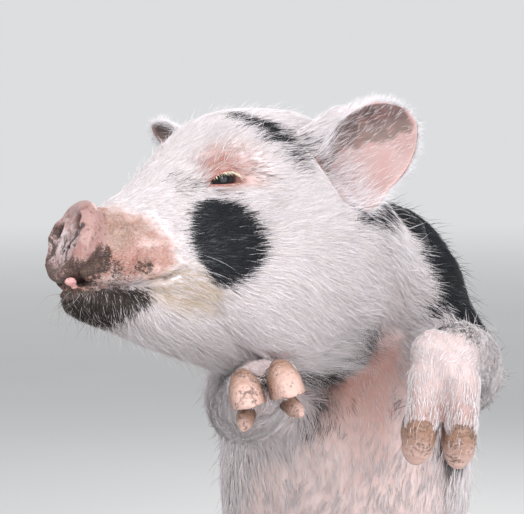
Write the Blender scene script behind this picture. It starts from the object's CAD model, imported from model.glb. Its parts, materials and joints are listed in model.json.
"""The looks of a life-size domestic pig, a still museum model reared up on a plain base.

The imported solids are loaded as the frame. One skin, grown from the same named sizes as the
solids, takes the place of the flesh, and the bristly coat, ears, snout, eyes, trotters and
base are built over it. Metres, +Z up. The body faces -Y, so the pig's left is +X.
"""

import json
import logging
import math
from dataclasses import dataclass
from enum import Enum

import bmesh
import bpy
import numpy as np
from mathutils import Matrix, Vector
from mathutils.bvhtree import BVHTree

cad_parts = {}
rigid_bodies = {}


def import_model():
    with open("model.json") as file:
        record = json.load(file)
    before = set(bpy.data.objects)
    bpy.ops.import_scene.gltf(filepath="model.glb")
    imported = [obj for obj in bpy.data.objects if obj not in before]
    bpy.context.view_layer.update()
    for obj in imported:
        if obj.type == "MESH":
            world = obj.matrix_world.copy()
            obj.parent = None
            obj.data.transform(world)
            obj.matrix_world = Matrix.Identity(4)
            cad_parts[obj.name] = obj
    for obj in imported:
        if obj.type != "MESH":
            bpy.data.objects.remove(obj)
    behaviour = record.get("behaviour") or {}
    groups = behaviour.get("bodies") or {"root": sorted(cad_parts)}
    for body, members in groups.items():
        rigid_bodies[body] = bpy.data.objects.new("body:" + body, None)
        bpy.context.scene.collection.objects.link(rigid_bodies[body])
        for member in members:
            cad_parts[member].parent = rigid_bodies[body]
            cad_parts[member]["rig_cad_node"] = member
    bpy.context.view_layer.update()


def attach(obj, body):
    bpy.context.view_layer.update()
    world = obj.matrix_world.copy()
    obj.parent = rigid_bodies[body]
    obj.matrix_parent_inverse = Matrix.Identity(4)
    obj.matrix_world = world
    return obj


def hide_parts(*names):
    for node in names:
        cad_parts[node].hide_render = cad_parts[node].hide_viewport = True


LOG = logging.getLogger("pig")
Array = np.ndarray
BMesh = bmesh.types.BMesh
Material = bpy.types.Material
Mesh = bpy.types.Mesh
Piece = bpy.types.Object
Row = tuple[float, ...]
Station = tuple[tuple[float, float, float], float]

# The stance: trunk and head frames, as in the solids
TRUNK_PITCH = math.radians(52.0)
SHOULDER = Vector((0.0, 0.04, 0.606))
SNOUT_AT = Vector((-0.2125, -0.17, 0.677))
HEAD_TURN = math.radians(-57.0)
HEAD_TILT = math.radians(13.0)
DISC_PITCH = math.radians(22.0)
HEAD = (
    Matrix.Translation(SNOUT_AT)
    @ Matrix.Rotation(-math.pi / 2 + HEAD_TURN, 4, "Z")
    @ Matrix.Rotation(HEAD_TILT, 4, "X")
)
DISC = HEAD @ Matrix.Rotation(-DISC_PITCH, 4, "Y")
TRUNK = Matrix.Translation(SHOULDER) @ Matrix.Rotation(-TRUNK_PITCH, 4, "X")

# Trunk sections: along the spine, half width, depth to the back, depth to the belly
TRUNK_SECTIONS: tuple[Row, ...] = (
    (-0.085, 0.06, 0.05, 0.06),
    (-0.045, 0.086, 0.072, 0.088),
    (0.0, 0.1, 0.084, 0.106),
    (0.06, 0.108, 0.09, 0.12),
    (0.13, 0.113, 0.095, 0.132),
    (0.21, 0.116, 0.099, 0.138),
    (0.28, 0.112, 0.099, 0.122),
    (0.34, 0.101, 0.095, 0.092),
    (0.39, 0.081, 0.081, 0.064),
    (0.425, 0.048, 0.053, 0.04),
)
# Head sections: back from the disc, height of the widest line, half width, above, below
HEAD_SECTIONS: tuple[Row, ...] = (
    (0.006, -0.004, 0.027, 0.0265, 0.03),
    (0.02, -0.006, 0.0285, 0.031, 0.034),
    (0.038, -0.01, 0.033, 0.043, 0.04),
    (0.055, -0.016, 0.039, 0.06, 0.048),
    (0.075, -0.022, 0.046, 0.084, 0.055),
    (0.1, -0.028, 0.054, 0.111, 0.058),
    (0.125, -0.033, 0.062, 0.127, 0.06),
    (0.15, -0.037, 0.069, 0.135, 0.062),
    (0.175, -0.039, 0.073, 0.137, 0.064),
    (0.2, -0.038, 0.073, 0.132, 0.066),
    (0.225, -0.034, 0.066, 0.114, 0.064),
    (0.245, -0.026, 0.05, 0.082, 0.05),
)
JAW_SECTIONS: tuple[Row, ...] = (
    (-0.0085, -0.0385, 0.011, 0.006, 0.007),
    (-0.004, -0.0395, 0.016, 0.0082, 0.01),
    (0.004, -0.042, 0.0205, 0.0095, 0.0125),
    (0.014, -0.0445, 0.0238, 0.01, 0.015),
    (0.028, -0.0475, 0.0262, 0.011, 0.0175),
    (0.055, -0.052, 0.033, 0.016, 0.025),
    (0.09, -0.056, 0.044, 0.024, 0.0345),
    (0.13, -0.06, 0.052, 0.03, 0.041),
    (0.17, -0.064, 0.052, 0.03, 0.041),
    (0.21, -0.064, 0.045, 0.03, 0.04),
)
# Lumps of muscle and fat on each side of the head and trunk: middle and half sizes
HEAD_FORMS = {
    "jowl": ((-0.15, 0.042, -0.054), (0.062, 0.032, 0.044)),
    "brow": ((-0.112, 0.0355, 0.052), (0.026, 0.012, 0.01)),
    "cheekbone": ((-0.13, 0.048, 0.008), (0.034, 0.017, 0.022)),
    "ear_root": ((-0.198, 0.04, 0.04), (0.024, 0.02, 0.032)),
    "upper_lip": ((-0.03, 0.02, -0.024), (0.036, 0.0115, 0.013)),
}
TRUNK_FORMS = {
    "ham": ((0.052, 0.315, -0.03), (0.052, 0.085, 0.082)),
    "blade": ((0.062, 0.034, -0.02), (0.042, 0.058, 0.066)),
}
NECK: tuple[Station, ...] = (
    ((-0.066, -0.074, 0.662), 0.084),
    ((-0.048, -0.05, 0.647), 0.086),
    ((-0.029, -0.012, 0.629), 0.085),
    ((-0.01, 0.03, 0.604), 0.087),
    ((0.0, 0.07, 0.575), 0.092),
)
FORELEG_LEFT: tuple[Station, ...] = (
    ((0.058, 0.036, 0.59), 0.045),
    ((0.076, 0.002, 0.566), 0.043),
    ((0.082, -0.036, 0.562), 0.034),
    ((0.078, -0.085, 0.58), 0.029),
    ((0.068, -0.136, 0.594), 0.0235),
    ((0.06, -0.166, 0.597), 0.0205),
    ((0.05, -0.194, 0.592), 0.0215),
)
FORELEG_RIGHT: tuple[Station, ...] = (
    ((-0.06, 0.036, 0.58), 0.045),
    ((-0.078, 0.002, 0.554), 0.043),
    ((-0.09, -0.036, 0.54), 0.034),
    ((-0.087, -0.082, 0.546), 0.027),
    ((-0.082, -0.122, 0.561), 0.0225),
    ((-0.079, -0.148, 0.57), 0.02),
    ((-0.077, -0.17, 0.573), 0.0205),
)
HINDLEG_LEFT: tuple[Station, ...] = (
    ((0.052, 0.222, 0.372), 0.066),
    ((0.07, 0.172, 0.326), 0.061),
    ((0.084, 0.13, 0.28), 0.046),
    ((0.087, 0.146, 0.24), 0.038),
    ((0.084, 0.188, 0.194), 0.0285),
    ((0.081, 0.216, 0.16), 0.022),
    ((0.08, 0.206, 0.118), 0.0185),
    ((0.08, 0.188, 0.078), 0.0205),
)
HINDLEG_RIGHT: tuple[Station, ...] = tuple(((-x, y, z), r) for (x, y, z), r in HINDLEG_LEFT)
TAIL: tuple[Station, ...] = (
    ((0.0, 0.272, 0.372), 0.015),
    ((0.0, 0.312, 0.362), 0.013),
    ((0.004, 0.338, 0.344), 0.0095),
    ((0.01, 0.346, 0.31), 0.0075),
    ((0.006, 0.344, 0.274), 0.0062),
    ((-0.004, 0.34, 0.242), 0.0045),
)
LIMBS = {
    "forefoot_left": FORELEG_LEFT,
    "forefoot_right": FORELEG_RIGHT,
    "hindfoot_left": HINDLEG_LEFT,
    "hindfoot_right": HINDLEG_RIGHT,
    "tail": TAIL,
}
BACK_OF_HEAD, BACK_OF_FACE = -0.235, -0.125
BACK_OF_NECK = 0.06
# Each foot: where the toes point, where the front of the foot faces
FEET = {
    "forefoot_left": ((-0.1, -0.34, -0.93), (0.0, -0.94, 0.34)),
    "forefoot_right": ((0.03, -0.97, 0.22), (-0.25, 0.18, 0.95)),
    "hindfoot_left": ((0.04, -0.8, -0.6), (0.0, -0.6, 0.8)),
    "hindfoot_right": ((-0.04, -0.8, -0.6), (0.0, -0.6, 0.8)),
}
BASE_TOP = 0.02
CLAW_LENGTH = 0.04
CLAW_WIDTH = 0.024
CLAW_HEIGHT = 0.026
DEWCLAW_LENGTH = 0.018
EYE_AT = Vector((-0.104, 0.04, 0.034))
EYE_RADIUS = 0.0125
LID_STRETCH = (1.12, 1.0, 1.02)
LID_THICKNESS = 0.0022
# The opening between the lids, in the head's side view: middle, half length, rise, drop, tilt
EYE_SLIT = (-0.1048, 0.0316, 0.0144, 0.0068, 0.0026, math.radians(-5.0))
# The bulge of the lower lip under the disc: middle and half sizes
LIP_BULGE = ((0.01, 0.0145, -0.03), (0.0052, 0.0046, 0.004))
# The line of the mouth on the left: forward, to the left, up
MOUTH_LINE = (
    (0.026, 0.0, -0.032),
    (0.016, 0.012, -0.0345),
    (0.004, 0.02, -0.0355),
    (-0.01, 0.0245, -0.0358),
    (-0.03, 0.029, -0.037),
    (-0.052, 0.034, -0.034),
    (-0.066, 0.04, -0.029),
)
# The axis that the trunk, neck and head are wound round when they are laid flat
SPINE = (
    SNOUT_AT,
    HEAD @ Vector((-0.06, 0, -0.01)),
    HEAD @ Vector((-0.13, 0, 0.01)),
    HEAD @ Vector((-0.2, 0, 0.0)),
    Vector((-0.018, 0.01, 0.617)),
    TRUNK @ Vector((0, 0.06, -0.01)),
    TRUNK @ Vector((0, 0.22, -0.015)),
    TRUNK @ Vector((0, 0.43, 0.0)),
)
# Creases of the skin behind the disc, over the eye and in the pouch under it: place, depth
# (below 0 for a ridge) and width
MUZZLE_CREASES = ((-0.0105, 0.0016, 0.0022), (-0.021, 0.0011, 0.003), (-0.034, 0.0009, 0.0035))
LID_CREASES = (
    (0.0042, 0.0013, 0.0012),
    (0.0085, 0.001, 0.0014),
    (0.014, 0.0009, 0.0018),
    (0.02, 0.0006, 0.0022),
)
POUCH_CREASES = ((0.0045, 0.0009, 0.0013), (0.0022, -0.0007, 0.0014), (0.0095, 0.0006, 0.002))
# The first words of the solids' names that the one skin stands for
FLESH = ("head", "neck", "torso", "foreleg", "thigh", "shank", "tail")


def srgb(red: int, green: int, blue: int) -> Array:
    """The linear colour of a display colour given in steps of 255."""
    value = np.array((red, green, blue)) / 255.0
    return np.where(value <= 0.04045, value / 12.92, ((value + 0.055) / 1.055) ** 2.4)


def ramp(value: Array, low: float, high: float) -> Array:
    """0 at low, 1 at high and smooth between; low may be above high."""
    share = np.clip((value - low) / (high - low), 0.0, 1.0)
    return share * share * (3.0 - 2.0 * share)


def mix(first: Array, second: Array, share: Array) -> Array:
    """Rows of the first colour turned into the second by a share for each row."""
    share = share[:, None]
    return first * (1.0 - share) + second * share


def painted(colour: Array, *layers: tuple[Array, Array]) -> Array:
    """Lay more colours over the first in order.

    Args:
        colour: the colour at each place.
        layers: each a colour and its share at each place.

    Returns:
        The last colour at each place.
    """
    for layer, share in layers:
        colour = mix(colour, layer, share)
    return colour


def hump(value: Array, middle: float | Array, width: float, power: int = 2) -> Array:
    """1 at the middle, falling off smoothly over the width on both sides."""
    return np.exp(-(((value - middle) / width) ** power))


def mottle(points: Array, size: float, seed: int = 0) -> Array:
    """Smooth seeded noise.

    Args:
        points: places, one a row.
        size: the rough size of one lump, in metres.
        seed: another number gives another pattern.

    Returns:
        A value from 0 to 1 for each place.
    """
    spot = points / size + 500.0 + 7.31 * seed
    cell = np.floor(spot).astype(np.int64)
    share = spot - cell
    share = share * share * (3.0 - 2.0 * share)
    total = np.zeros(len(points))
    for corner in np.ndindex(2, 2, 2):
        key = (cell + corner) @ np.array((73856093, 19349663, 83492791)) + seed * 26544357
        key = ((key ^ (key >> 13)) * 1274126177) & 0x7FFFFFFF
        value = ((key ^ (key >> 15)) & 0xFFFF) / 65535.0
        total += value * np.prod(np.where(corner, share, 1.0 - share), axis=1)
    return total


def within(flat: Array, outline: tuple[tuple[float, float], ...]) -> Array:
    """How far each flat place lies inside a closed outline.

    Args:
        flat: places with two numbers a row.
        outline: the corners in order.

    Returns:
        The distance to the outline in metres, below 0 outside it.
    """
    corners = np.array(outline)
    best = np.full(len(flat), np.inf)
    inside = np.zeros(len(flat), bool)
    for start, end in zip(corners, np.roll(corners, -1, axis=0)):
        edge = end - start
        share = np.clip((flat - start) @ edge / (edge @ edge), 0.0, 1.0)
        best = np.minimum(best, np.linalg.norm(flat - start - share[:, None] * edge, axis=1))
        crosses = (start[1] > flat[:, 1]) != (end[1] > flat[:, 1])
        rise = end[1] - start[1] if end[1] != start[1] else 1e-9
        inside ^= crosses & (flat[:, 0] < edge[0] * (flat[:, 1] - start[1]) / rise + start[0])
    return np.where(inside, best, -best)


def placed(points: Array, frame: Matrix) -> Array:
    """The same places or directions seen in a frame, one a row."""
    matrix = np.array(frame.inverted())
    return points @ matrix[:3, :3].T + matrix[:3, 3]


def turned(ways: Array, frame: Matrix) -> Array:
    """Directions given in a frame, as directions in the world."""
    return ways @ np.array(frame.to_3x3()).T


def unit(ways: Array) -> Array:
    """Rows scaled to length 1."""
    return ways / np.maximum(np.linalg.norm(ways, axis=1), 1e-9)[:, None]


def along_skin(ways: Array, normals: Array) -> Array:
    """Directions laid down on the skin, one a row."""
    return unit(ways - normals * (ways * normals).sum(1)[:, None])


def folded(head: Array) -> Array:
    """Places in the head's frame, with the right side turned over onto the left."""
    return np.column_stack([head[:, 0], np.abs(head[:, 1]), head[:, 2]])


@dataclass
class PathReading:
    """Where places lie along a path: distance from it, share of its length, way and width."""

    distance: Array
    share: Array
    way: Array
    width: Array
    nearest: Array


def along_path(points: Array, path: list | tuple, widths: list[float] | None = None) -> PathReading:
    """Read each place against the nearest stretch of a path.

    Args:
        points: places, one a row.
        path: the corners of the path in order.
        widths: the radius of the limb at each corner, where it is a limb.

    Returns:
        The reading, with one row or value for each place.
    """
    corners = np.array([tuple(Vector(corner)) for corner in path])
    widths = widths or [1.0] * len(corners)
    steps = np.linalg.norm(np.diff(corners, axis=0), axis=1)
    starts = np.concatenate([[0.0], np.cumsum(steps)])
    count = len(points)
    blank, rows = np.zeros(count), np.zeros((count, 3))
    out = PathReading(np.full(count, np.inf), blank, rows, blank.copy(), rows.copy())
    for i, step in enumerate(steps):
        edge = corners[i + 1] - corners[i]
        share = np.clip((points - corners[i]) @ edge / (edge @ edge), 0.0, 1.0)
        spot = corners[i] + share[:, None] * edge
        distance = np.linalg.norm(points - spot, axis=1)
        nearer = distance < out.distance
        out.distance[nearer] = distance[nearer]
        out.share[nearer] = (starts[i] + share[nearer] * step) / starts[-1]
        out.way[nearer] = edge / step
        out.width[nearer] = widths[i] + share[nearer] * (widths[i + 1] - widths[i])
        out.nearest[nearer] = spot[nearer]
    return out


def smooth_rows(rows: list, steps: int) -> list[Array]:
    """Rows of numbers along a smooth curve through the given rows.

    Args:
        rows: the rows to pass through.
        steps: how many rows to make for each one given.

    Returns:
        The rows in order.
    """
    rows = np.array(rows, dtype=float)
    rows = np.vstack([2 * rows[0] - rows[1], rows, 2 * rows[-1] - rows[-2]])
    out = []
    for i in range(1, len(rows) - 2):
        a, b, c, d = rows[i - 1 : i + 3]
        for t in np.arange(steps) / steps:
            bend = (2 * a - 5 * b + 4 * c - d) * t**2 + (3 * b - a - 3 * c + d) * t**3
            out.append(0.5 * (2 * b + (c - a) * t + bend))
    out.append(rows[-2])
    return out


def loft(bm: BMesh, rings: list[list[Vector]]) -> None:
    """Bridge rings of points into one skin and close its ends.

    Args:
        bm: the mesh that takes the skin.
        rings: closed rings that all have the same count of points.
    """
    loops = []
    for ring in rings:
        verts = [bm.verts.new(point) for point in ring]
        loops.append([bm.edges.new((verts[i - 1], verts[i])) for i in range(len(verts))])
    for first, second in zip(loops, loops[1:]):
        bmesh.ops.bridge_loops(bm, edges=first + second)
    for end in (loops[0], loops[-1]):
        bmesh.ops.holes_fill(bm, edges=end, sides=0)


def egg_ring(
    middle: Vector, side: Vector, up: Vector, sizes: Row, count: int, power: float = 2.0
) -> list[Vector]:
    """One ring whose upper and lower halves are half ovals of their own height.

    Args:
        middle: the middle of the ring.
        side: the way of its width.
        up: the way of its height.
        sizes: half its width, its height above the middle and below it.
        count: how many points it has.
        power: 2 for an oval, more for a squarer ring.

    Returns:
        The points in order.
    """
    half_width, above, below = sizes
    ring = []
    for i in range(count):
        angle = 2 * math.pi * i / count
        c, s = math.cos(angle), math.sin(angle)
        x = half_width * math.copysign(abs(c) ** (2 / power), c)
        z = (above if s > 0 else below) * math.copysign(abs(s) ** (2 / power), s)
        ring.append(middle + side * x + up * z)
    return ring


def limb(bm: BMesh, stations: list, steps: int = 4, count: int = 24) -> None:
    """Add a round limb along a smooth curve, with a domed cap at each end.

    Args:
        bm: the mesh that takes the form.
        stations: the places and radii along it.
        steps: how many rows to make for each one given.
        count: how many points to make.
    """
    rows = smooth_rows([[*place, radius] for place, radius in stations], steps)
    path = [(Vector(row[:3]), row[3]) for row in rows]
    rings = []
    side = None
    for i, (place, radius) in enumerate(path):
        along = (path[min(i + 1, len(path) - 1)][0] - path[max(i - 1, 0)][0]).normalized()
        side = along.orthogonal().normalized() if side is None else side
        side = (side - along * side.dot(along)).normalized()
        up = along.cross(side)
        cap, reach = radius * 0.5, along * radius * 0.8
        if i == 0:
            rings.append(egg_ring(place - reach, side, up, (cap, cap, cap), count))
        rings.append(egg_ring(place, side, up, (radius, radius, radius), count))
        if i == len(path) - 1:
            rings.append(egg_ring(place + reach, side, up, (cap, cap, cap), count))
    loft(bm, rings)


def oval(bm: BMesh, frame: Matrix, half_sizes: tuple, segments: int = 32, rings: int = 20) -> None:
    """Add an oval lump with its axes along the frame's.

    Args:
        bm: the mesh that takes the form.
        frame: the frame that it lies in.
        half_sizes: half its size along each axis.
        segments: its facets round.
        rings: its facets from pole to pole.
    """
    made = bmesh.ops.create_uvsphere(bm, u_segments=segments, v_segments=rings, radius=1.0)
    place = frame @ Matrix.Diagonal((*half_sizes, 1.0))
    bmesh.ops.transform(bm, matrix=place, verts=made["verts"])


def mirrored(point: tuple | Vector, sign: int) -> Vector:
    """A point of the left side, or its twin on the right."""
    return Vector((point[0], sign * point[1], point[2]))


def foot_frame(foot: str) -> Matrix:
    """Fetlock frame: y along the pastern to the toes, z to the front of the foot.

    Args:
        foot: the foot's name.

    Returns:
        The frame in the world.
    """
    toes, front = FEET[foot]
    along = Vector(toes).normalized()
    forward = Vector(front)
    forward = (forward - along * forward.dot(along)).normalized()
    frame = Matrix((along.cross(forward), along, forward)).transposed().to_4x4()
    return Matrix.Translation(LIMBS[foot][-1][0]) @ frame


def claw_frame(foot: str, sign: int) -> Matrix:
    """Claw frame: y to the tip, z up from the sole, origin at the heel on the sole.

    Args:
        foot: the foot's name.
        sign: 1 for the left, -1 for the right.

    Returns:
        The frame in the world.
    """
    pastern = foot_frame(foot)
    apart = sign * CLAW_WIDTH * 0.54
    if foot.startswith("hind"):
        fetlock = pastern.translation
        heel = Vector((fetlock[0] + apart, fetlock[1] - 0.022, BASE_TOP + 0.0003))
        return Matrix.Translation(heel) @ Matrix.Rotation(math.pi + sign * 0.05, 4, "Z")
    return (
        pastern
        @ Matrix.Translation((apart, 0.028, -0.011))
        @ Matrix.Rotation(-0.1, 4, "X")
        @ Matrix.Rotation(-sign * 0.05, 4, "Z")
    )


def linked(name: str, data: bpy.types.ID) -> Piece:
    """Put data into the scene as an object of that name.

    Args:
        name: the name that it gets.
        data: the mesh, light or camera.

    Returns:
        The object.
    """
    thing = bpy.data.objects.new(name, data)
    bpy.context.scene.collection.objects.link(thing)
    return thing


def new_object(name: str, bm: BMesh, smooth: bool = True) -> Piece:
    """Give a bmesh an object of its own.

    Args:
        name: the object's name.
        bm: the bmesh, which is used up.
        smooth: whether its faces are shaded smooth.

    Returns:
        The object.
    """
    bmesh.ops.recalc_face_normals(bm, faces=bm.faces)
    mesh = bpy.data.meshes.new(name)
    bm.to_mesh(mesh)
    bm.free()
    mesh.polygons.foreach_set("use_smooth", [smooth] * len(mesh.polygons))
    return linked(name, mesh)


def evaluated(thing: Piece) -> Piece:
    """Take an object as its modifiers show it.

    Args:
        thing: the object, which is removed.

    Returns:
        A plain object in its place, with its name.
    """
    graph = bpy.context.evaluated_depsgraph_get()
    mesh = bpy.data.meshes.new_from_object(thing.evaluated_get(graph))
    name = thing.name
    bpy.data.objects.remove(thing)
    return linked(name, mesh)


def places_of(mesh: Mesh) -> Array:
    """The mesh's points, one a row.

    Args:
        mesh: the mesh.

    Returns:
        The points, one a row.
    """
    out = np.empty(len(mesh.vertices) * 3, np.float32)
    mesh.vertices.foreach_get("co", out)
    return out.reshape(-1, 3).astype(float)


def normals_of(mesh: Mesh) -> Array:
    """The mesh's smooth normals, one a row.

    Args:
        mesh: the mesh.

    Returns:
        The normals, one a row.
    """
    out = np.empty(len(mesh.vertices) * 3, np.float32)
    mesh.vertex_normals.foreach_get("vector", out)
    return out.reshape(-1, 3).astype(float)


def corners_of(mesh: Mesh) -> Array:
    """The three points of each triangle of the mesh, one triangle a row.

    Args:
        mesh: the mesh.

    Returns:
        The numbers of the points, one triangle a row.
    """
    mesh.calc_loop_triangles()
    out = np.empty(len(mesh.loop_triangles) * 3, np.int32)
    mesh.loop_triangles.foreach_get("vertices", out)
    return out.reshape(-1, 3)


def areas_of(places: Array, corners: Array) -> Array:
    """The area of each triangle."""
    a, b, c = (places[corners[:, i]] for i in range(3))
    return np.linalg.norm(np.cross(b - a, c - a), axis=1) / 2


def scattered(picked: Array, places: Array, normals: Array, random: np.random.Generator) -> tuple[Array, Array]:
    """Draw one place on each of the picked triangles.

    Args:
        picked: the three points of each triangle, one triangle a row.
        places: the mesh's points.
        normals: its smooth normals.
        random: the seeded draw.

    Returns:
        The places and the normals there, one a row.
    """
    u, v = random.random((2, len(picked)))
    fold = u + v > 1
    u[fold], v[fold] = 1 - u[fold], 1 - v[fold]
    shares = np.column_stack([1 - u - v, u, v])[:, :, None]
    return (places[picked] * shares).sum(1), unit((normals[picked] * shares).sum(1))


def repeated_mesh(name: str, places: Array, faces: tuple[tuple[int, ...], ...], flat: Array) -> Mesh:
    """Make a smooth mesh of many loose parts with the same faces.

    Args:
        name: the mesh's name.
        places: the points, by part, point and axis.
        faces: the points of each face of one part.
        flat: the places on the flat map, by part, face corner and axis.

    Returns:
        The mesh.
    """
    count, per, _ = places.shape
    loops = np.concatenate(faces)
    starts = np.cumsum([0] + [len(face) for face in faces[:-1]])
    parts = np.arange(count)[:, None]
    mesh = bpy.data.meshes.new(name)
    mesh.vertices.add(count * per)
    mesh.vertices.foreach_set("co", places.astype(np.float32).ravel())
    mesh.loops.add(count * len(loops))
    mesh.loops.foreach_set("vertex_index", (parts * per + loops).astype(np.int32).ravel())
    mesh.polygons.add(count * len(faces))
    mesh.polygons.foreach_set("loop_start", (parts * len(loops) + starts).astype(np.int32).ravel())
    mesh.polygons.foreach_set("use_smooth", np.ones(count * len(faces), bool))
    layer = mesh.uv_layers.new(name="OFBake")
    layer.data.foreach_set("uv", flat.astype(np.float32).ravel())
    mesh.update(calc_edges=True)
    return mesh


def move_points(mesh: Mesh, places: Array) -> None:
    """Set the mesh's points and let the normals follow."""
    mesh.vertices.foreach_set("co", places.astype(np.float32).ravel())
    mesh.update()


def colour_points(mesh: Mesh, name: str, colours: Array) -> None:
    """Write a colour for each point of the mesh under a name that the finish reads.

    Args:
        mesh: the mesh.
        name: the name that it gets.
        colours: the colours, one a row.
    """
    layer = mesh.attributes.new(name, "FLOAT_COLOR", "POINT")
    rows = np.column_stack([colours, np.ones(len(colours))]).astype(np.float32)
    layer.data.foreach_set("color", rows.ravel())


def value_points(mesh: Mesh, name: str, values: Array) -> None:
    """Write a number for each point of the mesh under a name that the finish reads."""
    layer = mesh.attributes.new(name, "FLOAT", "POINT")
    layer.data.foreach_set("value", values.astype(np.float32))


class Slot(Enum):
    """The record's finishes that the pieces take."""

    HIDE = "hide"
    SNOUT = "snout"
    EAR = "ear"
    EYE = "eye"
    CLAW = "claw"
    STAND = "stand"


def settle(thing: Piece, finish: Material, nodes: tuple[str, ...] = ()) -> None:
    """Finish a piece, let it ride on the body and name the solids that it stands for.

    Args:
        thing: the piece in its place.
        finish: its material.
        nodes: the solids that it stands for, if any.
    """
    thing.data.materials.clear()
    thing.data.materials.append(finish)
    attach(thing, "root")
    if nodes:
        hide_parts(*nodes)
    LOG.info("%s: %d faces", thing.name, len(thing.data.polygons))


class Signal:
    """A shader value that takes part in Python sums."""

    def __init__(self, shader: "Shader", socket: bpy.types.NodeSocket) -> None:
        """Keep the socket and the shader that it belongs to."""
        self.shader = shader
        self.socket = socket

    def maths(self, operation: str, *others: "Signal | float") -> "Signal":
        """Add one Math node that works on this value and others."""
        values = dict(enumerate((self, *others)))
        return self.shader.node("ShaderNodeMath", {"operation": operation}, values)

    def __add__(self, other: "Signal | float") -> "Signal":
        """The sum."""
        return self.maths("ADD", other)

    __radd__ = __add__

    def __sub__(self, other: "Signal | float") -> "Signal":
        """The difference."""
        return self.maths("SUBTRACT", other)

    def __rsub__(self, other: float) -> "Signal":
        """A number less this value."""
        return (self * -1.0) + other

    def __mul__(self, other: "Signal | float") -> "Signal":
        """The product."""
        return self.maths("MULTIPLY", other)

    __rmul__ = __mul__

    def step(self, low: float, high: float) -> "Signal":
        """0 at low, 1 at high and smooth between."""
        settings = {"interpolation_type": "SMOOTHSTEP"}
        values = {"Value": self, "From Min": low, "From Max": high}
        return self.shader.node("ShaderNodeMapRange", settings, values)


class Shader:
    """A finish under construction: its nodes, added by plain calls."""

    def __init__(self, name: str, **constants: float | tuple) -> None:
        """Start a finish.

        Args:
            name: the material's name.
            constants: values of the main shader's own sockets, spaces given as underscores.
        """
        self.material = bpy.data.materials.new(name)
        self.material.use_nodes = True
        self.tree = self.material.node_tree
        self.surface = self.tree.nodes["Principled BSDF"]
        for key, value in constants.items():
            self.surface.inputs[key.replace("_", " ")].default_value = value

    def node(
        self, kind: str, settings: dict | None = None, inputs: dict | None = None, output: str | int = 0
    ) -> Signal:
        """Add any node.

        Args:
            kind: the node's type.
            settings: its properties.
            inputs: values or links of its sockets, by name or index.
            output: the socket that the call gives back.

        Returns:
            The chosen output as a value for more sums.
        """
        node = self.tree.nodes.new(kind)
        for key, value in (settings or {}).items():
            setattr(node, key, value)
        for key, value in (inputs or {}).items():
            if isinstance(value, Signal):
                self.tree.links.new(value.socket, node.inputs[key])
            else:
                node.inputs[key].default_value = value
        return Signal(self, node.outputs[output])

    def places(self, stretch: tuple[float, float, float] = (1.0, 1.0, 1.0)) -> Signal:
        """Object coordinates, stretched along each axis."""
        spot = self.node("ShaderNodeTexCoord", output="Object")
        return self.node("ShaderNodeMapping", {}, {"Vector": spot, "Scale": stretch})

    def grain(
        self, size: float, detail: float = 4.0, spot: Signal | None = None, rough: float = 0.55
    ) -> Signal:
        """Noise with lumps of about the given size in metres."""
        values = {"Vector": spot or self.places(), "Scale": 1.0 / size, "Detail": detail, "Roughness": rough}
        return self.node("ShaderNodeTexNoise", {}, values)

    def number(self, name: str) -> Signal:
        """A number that the mesh carries for each point."""
        return self.node("ShaderNodeAttribute", {"attribute_name": name}, output="Fac")

    def tint(self, name: str) -> Signal:
        """A colour that the mesh carries for each point."""
        return self.node("ShaderNodeAttribute", {"attribute_name": name}, output="Color")

    def blend(
        self, first: Signal | tuple, second: Signal | tuple, share: Signal | float, way: str = "MIX"
    ) -> Signal:
        """One colour turned into another."""
        values = {"Factor": share, 6: self._colour(first), 7: self._colour(second)}
        return self.node("ShaderNodeMix", {"data_type": "RGBA", "blend_type": way}, values, 2)

    def glaze(self, first: Signal | tuple, second: Signal | tuple, share: Signal | float) -> Signal:
        """A colour darkened by another that is laid over it."""
        return self.blend(first, second, share, "MULTIPLY")

    @staticmethod
    def _colour(colour: Signal | tuple) -> Signal | tuple:
        """A colour with its fourth number."""
        return colour if isinstance(colour, Signal) or len(colour) == 4 else (*colour, 1.0)

    def feed(self, **links: Signal) -> None:
        """Link values to the main shader's sockets, spaces given as underscores."""
        for key, value in links.items():
            self.tree.links.new(value.socket, self.surface.inputs[key.replace("_", " ")])

    def bump(self, height: Signal, depth: float, strength: float = 1.0) -> None:
        """Raise the surface by a height of 0 to 1 over a depth in metres."""
        values = {"Height": height, "Distance": depth, "Strength": strength}
        self.feed(Normal=self.node("ShaderNodeBump", {}, values))


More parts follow.
